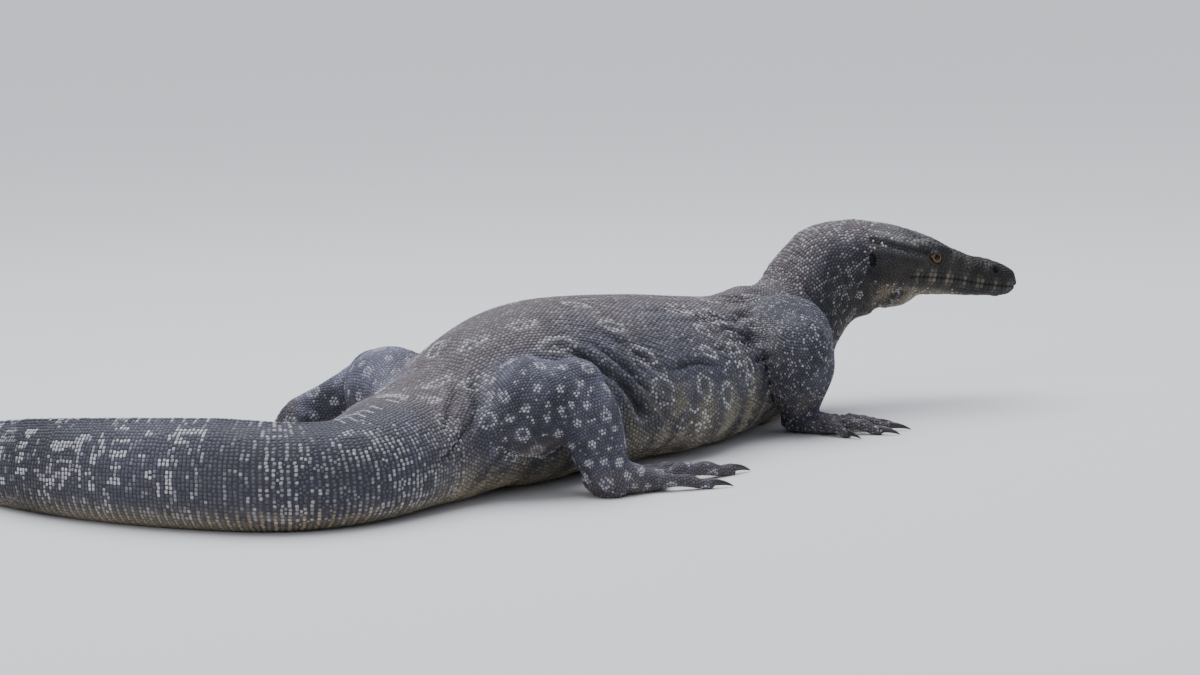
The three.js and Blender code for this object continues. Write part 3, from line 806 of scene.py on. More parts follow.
def head_relief(place):
    """How far the head's skin stands out, at points in the head's own frame"""
    x, y, z = place.T
    side = ramp(np.abs(y), 6, 12)
    gape = ramp(x, MOUTH_CORNER - 3, MOUTH_CORNER + 4)
    dz = z - mouth_line(x)[:, 0]
    relief = -1.5 * gape * hump(dz / 0.85)
    relief += 0.5 * gape * hump((np.abs(dz) - 3.2) / 2)
    # the crease from the corner of the mouth down to the jaw's hinge
    dx = (x - 36) + 0.5 * (z + 22)
    relief -= 1.3 * side * hump(dx / 2) * ramp(-z, 12, 18) * (1 - ramp(-z, 26, 34))
    # nostril and ear, each a hole with a raised rim
    hole = nostril_share(x, z)
    relief -= 3.2 * side * (1 - ramp(hole, 0.6, 1.1))
    relief += 0.6 * side * hump((hole - 1.4) / 0.3)
    hole = ear_share(x, z, 4.2, 8)
    relief -= 4.5 * side * (1 - ramp(hole, 0.55, 1.05))
    relief += 0.9 * side * hump((hole - 1.3) / 0.28)
    # the hollow between brow and snout, and the sunken temple behind the eye
    relief -= 1.1 * side * hump((x - 92) / 14, (z - 8) / 6)
    relief -= 1.2 * side * hump((x - 40) / 12, (z - 14) / 6)
    return relief + 0.22 * Waves(15, 9)(place)


def lid_share(ahead, up, spare=0):
    """How far a place lies from the middle of the almond opening of the lids, its edge being 1"""
    up = up + LID_SLANT * ahead
    share = (np.abs(ahead) / (LID_HALF_LENGTH + spare)) ** LID_POINT
    return share + (np.abs(up) / (LID_HALF_HEIGHT + spare)) ** 2


place = in_skull(points)
near_head = by_head(points, -14)
edge = ramp(place[:, 0], -14, -6)
points += normals_of(skin.data) * np.where(near_head, head_relief(place) * edge, 0)[:, None]
place = in_skull(points)
for side in (1, -1):
    # the lids lie over the globe: pushed out to it, with a rim and a crease round the opening
    centre = np.array(EYE_PLACE) * (1, side, 1)
    off = place - centre
    near = near_head & (np.linalg.norm(off, axis=1) < 19) & (off[:, 1] * side > -6)
    opening = lid_share(off[near, 0], off[near, 2])
    out = np.linalg.norm(off[near], axis=1)
    lid = EYE_RADIUS + 0.7 + 0.9 * hump((opening - 1.55) / 0.4)
    lid -= 0.5 * hump((opening - 2.9) / 0.5)
    laid = lid + np.maximum(out - lid, 0) * ramp(opening, 1.6, 3.2)
    pushed = np.where((out < lid) | (opening < 3.2), laid, out)
    new = off[near] / out[:, None] * pushed[:, None]
    inside = opening < 1
    new[inside] *= (1 - 0.75 * ramp(1 - opening[inside], 0, 0.35))[:, None]
    place[near] = new + centre
points = np.where(near_head[:, None], on_skull(*place.T), points)

# The animal rests on flats, where the hide is pressed level with the floor.
FLOOR_CLEAR = 0.5
points[:, 2] = np.maximum(points[:, 2], FLOOR_CLEAR)
put_points(skin.data, points)
scale_seeds = points.copy()

# the head and the feet keep more of their triangles
thin_out = skin.vertex_groups.new(name="thin_out")
calm = near_head | in_foot(points)
for some, weight in ((~calm, 1.0), (calm, 0.35)):
    thin_out.add(np.nonzero(some)[0].tolist(), weight, "REPLACE")
share = SKIN_TRIANGLES / (2 * len(skin.data.polygons))
settle(skin, "DECIMATE", ratio=share, vertex_group="thin_out")
skin.data.shade_smooth()
skin.vertex_groups.clear()
FLESH = [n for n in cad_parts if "_claw_" not in n and not n.startswith("eye")]
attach(skin, "root")
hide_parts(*FLESH)


# The scales: small separate beads of dry horn, set edge to edge in rows across the trunk and
# legs, in upright whorls on the tail with a double row along its crest, and as larger plates on
# the head and lips. Each is one colour, so markings are grainy.
BODY, ON_HEAD = 0, 1
LEG_NUMBERS = {name: i for i, name in enumerate(legs, 2)}
# The columns of the table of scales: place, the way back along the form, spacing, height, keel,
# which form it is on, its place along and round the form, the number of its ring and its angle
PLACE, BACK = slice(0, 3), slice(3, 6)
SPACE, HIGH, KEEL, FORM, ALONG, ROUND, RING, TURN = range(6, 14)
# a row takes more or fewer scales only when the girth has changed by this share
GIRTH_CHANGE = 0.07


def scale_rows(surface, places, back_step, across, high, keel, form, staggered, base=0.0):
    """Scales in rings round a form, as rows of the table"""
    angles = np.linspace(0, 2 * math.pi, 145)
    rows, held = [], None
    for number, place in enumerate(places):
        ring = surface(np.full(len(angles), place), angles)
        run = np.concatenate([[0], np.cumsum(np.linalg.norm(np.diff(ring, axis=0), axis=1))])
        wanted = run[-1] / across
        if held is None or abs(wanted / held - 1) > GIRTH_CHANGE:
            held = max(6, 2 * round(wanted / 2))
        at = (np.arange(held) + 0.5 * (number % 2 if staggered else 1)) / held * run[-1]
        angle = np.interp(at, run, angles)
        points = surface(np.full(held, place), angle)
        back = surface(np.full(held, place - back_step), angle) - points
        arc = np.where(at > run[-1] / 2, at - run[-1], at)
        same = [np.full(held, value) for value in (across, high, keel, form, place + base)]
        rows.append(np.column_stack([points, back, *same, arc, np.full(held, number), angle]))
    return np.concatenate(rows)


def row_places(start, end, step_rows):
    """Places from start to end, spaced by a table of steps"""
    step = through(step_rows)
    places = [start]
    while places[-1] < end:
        places.append(places[-1] + float(step(places[-1])[0, 0]))
    return places[:-1]


# the rows across the long body: trunk and neck staggered, the tail's whorls in line
TRUNK_ROW = 4.1
TRUNK_SCALE = 3.6
TAIL_WHORL = 3.9
TAIL_SCALE = 3.3
LIMB_SCALES = {"hind": 2.95, "fore": 2.7}
TOE_ROW = 2.7
TOE_SCALE = 2.9
trunk_steps = [[VENT, 4.3], [0, TRUNK_ROW], [SHOULDER, TRUNK_ROW], [SKULL, 3.5]]
tail_steps = [[TIP, 2.6], [TIP + 300, 3.6], [VENT - 500, TAIL_WHORL], [VENT, TAIL_WHORL]]
trunk_rows = row_places(VENT + 4, SKULL, trunk_steps)
tail_rows = row_places(TIP + 2, VENT, tail_steps)
coats = [
    scale_rows(body_surface, trunk_rows, 50, TRUNK_SCALE, 0.55, 0.35, BODY, True),
    scale_rows(body_surface, tail_rows, 50, TAIL_SCALE, 0.5, 0.7, BODY, False),
]
for name, leg in legs.items():
    number = LEG_NUMBERS[name]
    size = LIMB_SCALES[name.split("_")[1]]
    for length, end, base in (("upper", 1.0, 0), ("lower", 1.02, 1)):
        surface = leg[length]
        places = np.arange(-0.3, end, size * 0.95 / surface.length)
        coats.append(scale_rows(surface, places, 1 / surface.length, size, 0.5, 0, number, True, base))
    for toe in leg["toes"]:
        places = np.arange(0.05, 0.97, TOE_ROW / toe.length)
        coats.append(scale_rows(toe, places, 1 / toe.length, TOE_SCALE, 0.55, 0, number, True, 3))
laid_scales = np.concatenate(coats)

# Rows of lip scales: how far off the mouth's line, where they start and their size
LIP_ROWS = [(3.0, 47, 4.6), (6.9, 49, 3.8), (-3.2, 47, 4.6), (-7.1, 50, 3.8)]
LIP_END = 150
BROW_PLATES = 7
LID_BEADS = 20


def head_rows():
    """The head's set scales: lips, the plates over the eyes and the ring round each eye"""
    found = []

    def lay(x, y, z, size, high):
        found.append(np.column_stack(np.broadcast_arrays(x, y, z, size, high)))

    for side in (1, -1):
        for offset, start, size in LIP_ROWS:
            x = np.arange(start + (offset > 4) * size / 2, LIP_END, size)
            z = mouth_line(x)[:, 0] + offset
            half, above, below, top, under = head_section(x).T
            high = np.where(z > 0, above, below)
            power = np.where(z > 0, top, under)
            y = half * (1 - np.clip(np.abs(z) / high, 0, 1) ** (1 / power * 2)) ** (power / 2)
            lay(x, side * y, z, size, 0.5)
        x = np.linspace(49, 82, BROW_PLATES)
        lay(x, side * 15.5, head_section(x)[:, 1] + 2, 5.4, 0.6)
        turn = np.arange(LID_BEADS) / LID_BEADS * 2 * math.pi
        lay(EYE_PLACE[0] + 11.5 * np.cos(turn), side * 29.0, EYE_PLACE[2] + 8.6 * np.sin(turn), 2.6, 0.45)
    return np.concatenate(found)


x, y, z, size, high = head_rows().T
head_table = np.zeros((len(x), TURN + 1))
head_table[:, PLACE] = on_skull(x, y, z)
head_table[:, BACK] = -skull[1]
head_table[:, SPACE] = size
head_table[:, HIGH] = high
head_table[:, FORM] = ON_HEAD

# every scale is put on the skin under it, where that is near
skin.data.calc_loop_triangles()
triangles = read(skin.data.loop_triangles, "vertices", 3, np.int32)
skin_points = points_of(skin.data)
skin_normals = normals_of(skin.data)
skin_faces = BVHTree.FromPolygons(skin_points.tolist(), triangles.tolist())


def on_skin(points, farthest):
    """The nearest places on the skin, their normals, and which points have one near enough"""
    places, normals = np.zeros((2, len(points), 3))
    near = np.zeros(len(points), bool)
    for i, point in enumerate(points.tolist()):
        place, _, face, gone = skin_faces.find_nearest(point)
        if gone <= farthest:
            near[i] = True
            places[i] = place
            normals[i] = skin_normals[triangles[face]].sum(0)
    normals /= np.maximum(np.linalg.norm(normals, axis=1), 1e-9)[:, None]
    return places, normals, near


FARTHEST = 4.6
FARTHEST_TAIL = 9
UNEVEN = 0.1
candidates = np.concatenate([head_table, laid_scales])
uneven = np.random.default_rng(5).normal(size=(len(laid_scales), 3)) * UNEVEN
candidates[len(head_table) :, PLACE] += uneven * laid_scales[:, [SPACE]]
places, normals, near = on_skin(candidates[:, PLACE], FARTHEST_TAIL)
off_skin = np.linalg.norm(places - candidates[:, PLACE], axis=1)
near &= (off_skin < FARTHEST) | ((candidates[:, FORM] == BODY) & (candidates[:, ALONG] < VENT + 40))


def bare(points):
    """True where the head's skin carries no scale: the eye, the nostril, the ear and the gape"""
    x, y, z = in_skull(points).T
    eye = (lid_share(x - EYE_PLACE[0], z - EYE_PLACE[2], 1.4) < 1) & (np.abs(y) > 16)
    hole = (ear_share(x, z, 4.4, 8.2) < 1) | (nostril_share(x, z) < 1.12)
    gape = (x > MOUTH_CORNER) & (np.abs(z - mouth_line(x)[:, 0]) < 1.1)
    return eye | gape | (hole & (np.abs(y) > 10))


# rows of the body and the legs end at the head
is_head = by_head(places)
kept = near & ((candidates[:, FORM] == ON_HEAD) | ~is_head) & ~(is_head & bare(places))
candidates, places, normals = candidates[kept], places[kept], normals[kept]
candidates[:, PLACE] = places


class Cells:
    """Points held by cells of a grid, to find whether one lies too near another"""

    def __init__(self, size):
        self.size = size
        self.held = {}

    def cell(self, point):
        return tuple(int(math.floor(v / self.size)) for v in point)

    def taken(self, point, share):
        """True where a held point lies nearer than a share of its own space"""
        ways = (range(v - 1, v + 2) for v in self.cell(point))
        others = (other for cell in itertools.product(*ways) for other in self.held.get(cell, ()))
        return any(math.dist(point, other) < share * space for other, space in others)

    def hold(self, point, space):
        self.held.setdefault(self.cell(point), []).append((point, space))


CELL = 5.6
cells = Cells(CELL)
taken = []
for i, (point, space) in enumerate(zip(candidates[:, PLACE].tolist(), candidates[:, SPACE].tolist())):
    if not cells.taken(point, 0.62):
        cells.hold(point, space)
        taken.append(i)
scales = candidates[taken]
scale_normals = normals[taken]


# what the rows leave bare is filled with scales strewn at even distances
FILL = 3.3
FOOT_FILL = 2.8
TAIL_FILL = 3.3


def wanted_space(points):
    """How far apart strewn scales stand, smaller on the head's sides and the feet"""
    x, _, z = in_skull(points).T
    space = np.full(len(points), FILL)
    space[in_foot(points)] = FOOT_FILL
    top = ramp(z, 8, 20)
    round_eye = hump((x - EYE_PLACE[0]) / 13, (z - EYE_PLACE[2]) / 9) * (1 - top)
    on_it = 2.8 + 1.5 * top * ramp(x, 15, 40) - 0.9 * round_eye + 0.5 * ramp(x, 85, 110) * (1 - top)
    return np.where(by_head(points), on_it, space)


def tree_of(points, numbers=None):
    """A tree of points, to find those nearest to a place by their numbers"""
    tree = KDTree(len(points))
    for i, point in enumerate(points.tolist()):
        tree.insert(point, i if numbers is None else int(numbers[i]))
    tree.balance()
    return tree


draw = np.random.default_rng(7)
rows_near = tree_of(scales[:, PLACE])
spaces = wanted_space(scale_seeds)
no_scale = bare(scale_seeds) & by_head(scale_seeds, -10)
strewn, strewn_like = [], []
for i in draw.permutation(len(scale_seeds)):
    if no_scale[i]:
        continue
    point = scale_seeds[i].tolist()
    _, like, gone = rows_near.find(point)
    on_tail = scales[like, FORM] == BODY and scales[like, ALONG] < VENT + 20
    if gone < (TAIL_FILL if on_tail else 0.74 * spaces[i]) or cells.taken(point, 0.8):
        continue
    cells.hold(point, spaces[i])
    strewn.append(i)
    strewn_like.append(like)
fill = scales[strewn_like]
fill[:, PLACE] = scale_seeds[strewn]
fill[:, SPACE] = spaces[strewn]
fill[:, HIGH] = np.minimum(0.17 * fill[:, SPACE], 0.6)
at_head = by_head(fill[:, PLACE], -4)
fill[at_head, BACK] = -skull[1]
fill[at_head, KEEL] = 0
fill[at_head, FORM] = ON_HEAD
fill[:, PLACE], normals, _ = on_skin(fill[:, PLACE], math.inf)
scales = np.concatenate([scales, fill])
scale_normals = np.concatenate([scale_normals, normals])


# The markings: warm grey over the back and blue-grey on the flanks, with rows of pale rings, buff
# blotches low down, blue-black legs peppered with white, and a dark tail with pale dashes. The
# ground colour runs over skin and scales alike, and the pale marks are on the scales' tops. Painted
# shade in the creases, hollows and cheeks, and painted sky light and sheen on the hind legs and tail, are
# laid into the same colours.
def paint(red, green, blue):
    """A colour given as it looks on a screen, from 0 to 255, as light"""
    return np.array([(v / 255) ** 2.2 for v in (red, green, blue)])


def blend(first, other, share):
    share = np.clip(np.asarray(share, float), 0, 1)[:, None]
    return first * (1 - share) + other * share


def layered(colour, *layers):
    """A colour with others laid over it, each given with its share from 0 to 1"""
    for other, share in layers:
        colour = blend(colour, other, share)
    return colour


def band_at(offset):
    """A flat-topped band, 1 in its middle, by how many half widths a place lies off it"""
    return np.exp(-(offset**4))


BACK_GREY = paint(106, 97, 100)
FLANK_BLUE = paint(86, 87, 99)
LOW_GREY = paint(112, 106, 94)
INK = paint(30, 32, 42)
LEG_BLUE = paint(81, 81, 95)
TAIL_BLUE = paint(80, 81, 94)
BONE = paint(206, 204, 206)
BUFF = paint(146, 138, 122)
CREAM = paint(176, 162, 136)
UMBER = paint(88, 80, 74)
BARK = paint(70, 60, 52)
RING_GREY = paint(146, 143, 148)

# Rings seen on the right side: place along the spine, arc from the middle of the back, and how
# far each reaches along and across the body
RINGS = [
    (-145, -70, 22, 8), (-65, -70, 15, 7), (-52, -108, 18, 10), (-38, -142, 16, 14),
    (28, -143, 11, 12), (66, -150, 10, 12), (-72, -30, 13, 6), (-155, -33, 15, 6),
    (-204, -14, 13, 6), (-262, -16, 14, 5), (-243, -43, 16, 7), (-262, -72, 12, 7),
    (-310, -58, 13, 8), (-300, -28, 13, 6), (-338, -74, 12, 10), (48, -108, 10, 6),
    (62, -84, 9, 6), (92, -104, 8, 7), (112, -118, 8, 8),
]
RING_SLANT = 0.3
RING_LINE = 2.1
RING_ROW = 62
RING_ARCS = (20, 58, 96, 134)
ring_draw = np.random.default_rng(21)
rings = list(RINGS)
for row_place in np.arange(VENT - 30, SHOULDER + 20, RING_ROW):
    for side in (1, -1):
        for arc in RING_ARCS:
            s0 = row_place + ring_draw.uniform(-9, 9) + (14 if arc in RING_ARCS[1::2] else 0)
            a0 = side * (arc + ring_draw.uniform(-6, 6))
            long, broad = ring_draw.uniform(9, 15), ring_draw.uniform(6, 11)
            shown = side < 0 and -330 < s0 < 110
            if not shown and (arc != RING_ARCS[0] or ring_draw.random() < 0.6):
                rings.append((s0, a0, long, broad))

# Patches of strewn pale scales: place, arc, reach along and across, and share of pale scales
PATCHES = [
    (96, -62, 26, 18, 0.6), (60, -50, 30, 12, 0.28), (118, -92, 20, 16, 0.4),
    (88, -118, 26, 20, 0.25), (10, -176, 30, 18, 0.4), (96, 64, 26, 18, 0.5),
    (60, 52, 30, 12, 0.28), (118, 92, 20, 16, 0.4), (10, 176, 30, 18, 0.4),
]
count = len(scales)
at = scales[:, PLACE]
form, s, arc, turn = scales[:, [FORM, ALONG, ROUND, TURN]].T
chance = draw.random(count)
second = draw.random(count)
tone = draw.normal(0, 1, count)
body_angle = np.degrees(np.abs(np.where(turn > math.pi, turn - 2 * math.pi, turn)))
on_long, head, limb = form == BODY, form == ON_HEAD, form > ON_HEAD
cloud, mottle, small = (Waves(seed, size)(at) for seed, size in ((31, 110), (32, 28), (33, 11)))
streak = Waves(34, 10)(np.stack([0.16 * s, arc, 0 * s], 1))


def ring_line(off, slope, middle):
    """A line of one width round a ring, from how far off its middle a place is, and how fast that grows"""
    return hump((off - middle) * np.maximum(off, 0.3) / np.maximum(slope, 0.01) / RING_LINE)


# trunk
ground = layered(
    BACK_GREY,
    (FLANK_BLUE, ramp(body_angle + 8 * cloud, 20, 66)),
    (LOW_GREY, ramp(body_angle + 10 * mottle, 72, 112)),
    (BACK_GREY * 1.02, 0.55 * ramp(-s, 150, 240) * (1 - ramp(body_angle, 90, 120))),
)
ground = ground * (1 + 0.1 * streak + 0.07 * mottle)[:, None]
pale = np.where(chance < 0.26, 0.1 + 0.14 * second, 0) + np.where(chance < 0.02, 0.28, 0)
pale *= 1 - 0.5 * ramp(np.abs(small), 0.4, 1.4)
for s0, a0, long, broad in rings:
    slant = math.copysign(RING_SLANT, a0) if long > 1.3 * broad else 0
    ds, da = (s - s0) / long, (arc - a0 - slant * (s - s0)) / broad
    close = (np.abs(ds) < 1.9) & (np.abs(da) < 1.9) & on_long
    slope = np.hypot(ds[close] / long, da[close] / broad)
    off = np.hypot(ds[close], da[close]) + 0.1 * small[close]
    ring = ring_line(off, slope, 0.92)
    ink = np.clip(1 - np.abs(off - 0.2) * 1.7, 0, 1) * 0.6 + 0.3 * hump((off - 1.42) / 0.24)
    ground[close] = layered(ground[close], (LOW_GREY * 0.5, ink), (RING_GREY, 0.72 * ring))
    mark = ring * (0.35 + (0.35 if long * broad > 120 else 0.6) * second[close]) * (chance[close] < 0.93)
    mark = np.where((off < 0.2) & (second[close] < 0.5), 0.45, mark)
    pale[close] = np.where(off < 1.6, mark, pale[close])
for s0, a0, long, broad, share in PATCHES:
    off = np.hypot((s - s0) / long, (arc - a0) / broad)
    hit = on_long & (chance < share * (1 - ramp(off, 0.5, 1.25))) & (small > -0.6)
    pale[hit] = 0.45 + 0.4 * second[hit]
low = ramp(body_angle, 84, 108) * on_long
FLANK_BAR = 38
bars = np.sin(s * 2 * math.pi / FLANK_BAR + 1.3 * cloud) + 0.45 * mottle + 0.45 * small
belly = ramp(body_angle + 22 * hump((s - HIP + 30) / 80), 132, 150) * on_long
ground = layered(
    ground,
    (BUFF, 0.75 * low * ramp(bars, 0.0, 0.5) * np.where(chance < 0.75, 1, 0.35)),
    (INK * 1.5, 0.38 * low * ramp(-bars, 0.2, 0.8)),
    (blend(CREAM, UMBER, 0.6 * ramp(-bars, 0.1, 0.9)), belly),
)

# the neck: pale speckles on the nape, a whitish mesh on black at the sides and throat, and painted shade
# in the hollows in front of and behind the shoulder
THROAT_BAR = 26
neck = ramp(s, SHOULDER + 20, SHOULDER + 64) * on_long
nape = neck * (1 - ramp(body_angle, 50, 84))
side = neck * ramp(body_angle + 8 * mottle, 52, 86)
gular = neck * ramp(body_angle, 126, 160)
# painted shade in the hollow beside the neck's fold and in the hollow behind the arm
painted_hollow_shade = np.maximum(hump((s - 285) / 22, (arc + 55) / 16), hump((s - 134) / 17, (arc + 84) / 9)) * on_long
ground = layered(
    ground,
    (BACK_GREY * 0.86, 0.7 * nape),
    (INK, 0.86 * side),
    (blend(CREAM * 0.6, INK, 0.6 + 0.4 * np.sin(s * 2 * math.pi / THROAT_BAR)), 0.8 * gular),
    (INK * 0.8, 0.7 * painted_hollow_shade),
)
mesh_lines = hump(Waves(35, 17)(at) / 0.4)
pale = np.where(chance < 0.42 * nape, 0.1 + 0.36 * second, pale)
pale = np.where(chance < side, 0.5 * mesh_lines * (0.3 + 0.7 * second) * side, pale)
pale *= 1 - 0.8 * painted_hollow_shade

# the tail: dashes of one or two scales in upright columns, thicker in bands and clusters
DASH = 9.4
DASH_ROWS, DASH_COLUMNS = 700, 200
DASH_TURNS = 190
HALF_ROUND = 260
TAIL_BAND = 74
tail = (s < VENT + 8) & on_long
far_tail = ramp(-s, 760, 1050)
ring_number = scales[:, RING].astype(int)
dash_draw = np.random.default_rng(41).random((DASH_ROWS, DASH_COLUMNS))
whorl = ring_number % DASH_ROWS
dash_place = (arc + HALF_ROUND + DASH * dash_draw[whorl, 0]) / DASH
dash = dash_draw[whorl, 1 + dash_place.astype(int) % DASH_TURNS]
dash_core = (dash_place % 1) < 0.78
side_share = ramp(body_angle, 22, 60)
ground[tail] = layered(
    ground,
    (TAIL_BLUE, ramp(-s, -VENT - 20, -VENT + 60) * (0.9 + 0.1 * mottle)),
    (INK, (0.12 + 0.2 * side_share) * ramp(-s, -VENT, -VENT + 90)),
)[tail]
band = np.sin((s - VENT) * 2 * math.pi / TAIL_BAND + 0.9 + 0.4 * mottle + 0.7 * cloud * far_tail)
root_zone = 1 - ramp(-s, 440, 500)
likely = (0.14 + 0.16 * root_zone) * ramp(band, 0.2, 0.75) * (0.35 + 0.65 * side_share)
likely = side_share * (0.13 + 0.41 * root_zone) + likely
likely = np.where(body_angle < 22, 0.05 + 0.2 * ramp(band, 0.4, 0.9), likely) * (1 + 0.35 * small)
marked = tail & (dash < likely) & dash_core
pale[tail] = 0.06 * second[tail]
pale[marked] = (0.16 + 0.36 * dash * ramp(band, -0.8, 0.5) / np.maximum(likely, 0.1) + 0.16 * second)[marked]
under = tail * ramp(body_angle, 116, 140)
ribs = tail & (body_angle > 102) & (ring_number % 2 == 0) & (far_tail < 0.5)
solid = ramp(band + 0.25 * small, 0.25, 0.5) * far_tail * tail
ground = layered(
    ground,
    (BUFF * 0.9, 0.75 * under * (1 - far_tail)),
    (CREAM, 0.55 * ribs * ramp(body_angle, 102, 120)),
    (BUFF * 1.25, 0.85 * solid),
    (INK, 0.5 * far_tail * tail * (1 - solid)),
    (INK, 0.55 * tail * hump((s + 705) / 45)),
)
pale[under > 0.5] = 0
TAIL_RINGS = [
    (-402, -40, 15, 14), (-452, -20, 11, 6), (-352, -98, 10, 12), (-650, -51, 15, 6), (-734, -19, 8, 6),
]
for s0, a0, long, broad in TAIL_RINGS:
    ds, da = (s - s0) / long, (arc - a0) / broad
    off = np.hypot(ds, da) + 0.12 * small
    ring = tail * ring_line(off, np.hypot(ds / long, da / broad), 0.9)
    pale = np.maximum(pale * ~(tail & (off < 0.8)), ring * (0.45 + 0.3 * second))
# Single spots further along the tail: place, arc, and reach along and across. The same spots,
# moved a little, lie on the other side.
TAIL_SPOTS = [
    (-582, -29, 6, 2.6), (-584, -41, 7, 2.6), (-586, -52, 6, 2.8), (-586, -65, 7, 3.2),
    (-604, -29, 3.4, 3), (-630, -25, 4, 5), (-610, -45, 5, 3), (-558, -44, 2.4, 2.4),
    (-560, -22, 3, 2.6), (-590, -15, 7, 2.6), (-538, -26, 2.4, 2.4), (-522, -20, 18, 2.4),
    (-506, -24, 2.2, 5.4), (-526, -31, 6, 2.2), (-654, -32, 10, 4), (-632, -33, 5.5, 4),
    (-700, -18, 7, 5), (-702, -30, 5, 2.2), (-704, -42, 5.5, 3.2), (-702, -55, 6, 3),
    (-734, -36, 4, 5), (-730, -61, 5, 2.6), (-662, -63, 6, 2.2), (-640, -57, 5, 4),
    (-614, -70, 2.4, 4), (-532, -66, 2.2, 11), (-542, -72, 2.2, 6), (-552, -60, 2.2, 5.5),
    (-540, -49, 5, 4),
]
spots = []
for s0, a0, long, broad in TAIL_SPOTS:
    spots += [(s0 + side * 0.5 * (a0 % 7), -side * a0, long, broad) for side in (1, -1)]
for row_place in np.arange(TIP + 330, -750, 40):
    girth_share = ramp(-row_place, 1500, 700) * 0.6 + 0.4
    for a0 in np.arange(8, 66, 13) * girth_share:
        for side in (1, -1):
            s0 = row_place + dash_draw[int(a0), 3] * 8
            spots.append((s0, side * a0, 6 * girth_share, 3 * girth_share + 0.6))
speckle_zone = ramp(-s, 590, 610) * (1 - ramp(-s, 665, 685))
speckle = speckle_zone * ramp(body_angle, 24, 40) * (1 - ramp(body_angle, 96, 112))
hit = tail & (dash < 0.24 * speckle * (1 + 0.5 * small)) & dash_core
pale[hit] = 0.42 + 0.4 * second[hit]
# a painted sheen: a lighter blue band over the top and upper sides of the tail
ground = blend(ground, TAIL_BLUE * 1.3, 0.6 * tail * hump((s + 568) / 34) * (1 - ramp(body_angle, 60, 90)))
for s0, a0, long, broad in spots:
    hit = tail & (np.hypot((s - s0) / (long + 1), (arc - a0) / (broad + 0.4)) + 0.06 * tone < 1)
    pale[hit] = 0.7 + 0.3 * second[hit]
crest = tail & (body_angle < 9) & (far_tail < 0.6)
pale[crest & (ring_number % 3 == 0) & (band > -0.3)] = 0.7

# the legs: spots where the near hind leg shows them, and elsewhere strewn as evenly. Each
# seen spot is given as it stands from the side: its x, its height and its half width.
SEEN_SPOTS = [
    (-99, 74, 7.3), (-69, 61, 6.2), (-80, 38, 5.8), (-57, 43, 6), (-38, 58, 4.2), (-85, 94, 4.7),
    (-66, 84, 3.9), (-55, 101, 3.8), (-35, 98, 3.6), (-17, 101, 3.4), (-21, 93, 2.6),
    (-47, 86, 2.3), (-26, 84, 3.3), (-12, 83, 3.2), (-35, 80, 3.3), (-48, 74, 3.3),
    (-21, 68, 3.6), (-10, 69, 2), (12, 61, 2.4), (1, 59, 2.9), (-60, 73, 1.8), (-51, 59, 1.8),
    (-85, 57, 2.2), (-27, 46, 3.2), (-8, 49, 3.6), (6, 45, 2.4), (-12, 32, 3.8), (15, 32, 3.8),
    (3, 14, 5.4), (34, 21, 3.3), (28, 9, 2.6), (-74, 106, 1.8), (-67, 114, 2), (-8, 96, 2.2),
]
# a spot wider than this is a small ring
RING_SPOT = 4.6
SPOT_LINE = 1.7
SPOT_CLEAR = 9


def spot_mark(off, size):
    """How pale a spot is at a distance from its middle"""
    if size > RING_SPOT:
        return hump((off - size + 1.2) / SPOT_LINE)
    return 1 - ramp(off, size - 1.2, size + 0.9)


behind_thigh = on_long & (scale_normals[:, 1] < -0.1) & (s > VENT - 40) & (s < HIP + 90)
hip_dark = np.clip(1.4 * hump((at[:, 0] + 92) / 24, (at[:, 2] - 62) / 30) * behind_thigh, 0, 1)
ground = blend(ground, LEG_BLUE * 0.8, 0.85 * hip_dark)
pale *= 1 - 0.8 * hip_dark
for x0, z0, size in SEEN_SPOTS:
    mark = spot_mark(np.hypot(at[:, 0] - x0, at[:, 2] - z0), size)
    pale = np.maximum(pale, behind_thigh * mark * (0.45 + 0.34 * second))
spot_draw = np.random.default_rng(51)
pale_leg, ink_leg, glow_leg = np.zeros((3, count))
for name, number in LEG_NUMBERS.items():
    own = form == number
    hind = name.endswith("hind")
    place = at[own]
    light = np.where(chance[own] < (0.05 if hind else 0.24), 0.14 + 0.36 * second[own], 0.05 * second[own])
    glow, dark = np.zeros((2, len(place)))
    seen = SEEN_SPOTS if name == "right_hind" else []
    inward = scale_normals[own][:, 1] * legs[name]["outer"] <= 0.1
    marks = [(np.hypot(place[:, 0] - x, place[:, 2] - z) + 60 * inward, size) for x, z, size in seen]
    spacing = 20 if hind else 24
    spots = []
    for centre in place[spot_draw.permutation(len(place))]:
        clear = all(np.linalg.norm(centre - other) > spacing for other in spots)
        for x, z, size in SEEN_SPOTS if marks else []:
            clear = clear and math.hypot(centre[0] - x, centre[2] - z) > size + SPOT_CLEAR
        if clear:
            size = spot_draw.uniform(2.6, 6.5) if hind else spot_draw.uniform(1.6, 2.8)
            spots.append(centre)
            marks.append((np.linalg.norm(place - centre, axis=1), size))
    for off, size in marks:
        mark = spot_mark(off, size)
        if size > RING_SPOT:
            light[off < size - 2.8] = 0
        light = np.maximum(light, mark * (0.4 + 0.34 * second[own]))
        glow = np.maximum(glow, mark)
        dark = np.maximum(dark, hump((off - size - 3) / 3))
    pale_leg[own], glow_leg[own], ink_leg[own] = light, glow, dark
fore = form >= LEG_NUMBERS["right_fore"]
facing_up = scale_normals[:, 2]
arm_back = fore * ramp(-scale_normals[:, 0], 0.4, 0.8) * (s < 1.2)
inner = ramp(-facing_up, 0.55, 0.95)
leg_ground = layered(LEG_BLUE, (INK, 0.3 - 0.2 * mottle - 0.1 * small), (INK, 0.35 * ink_leg))
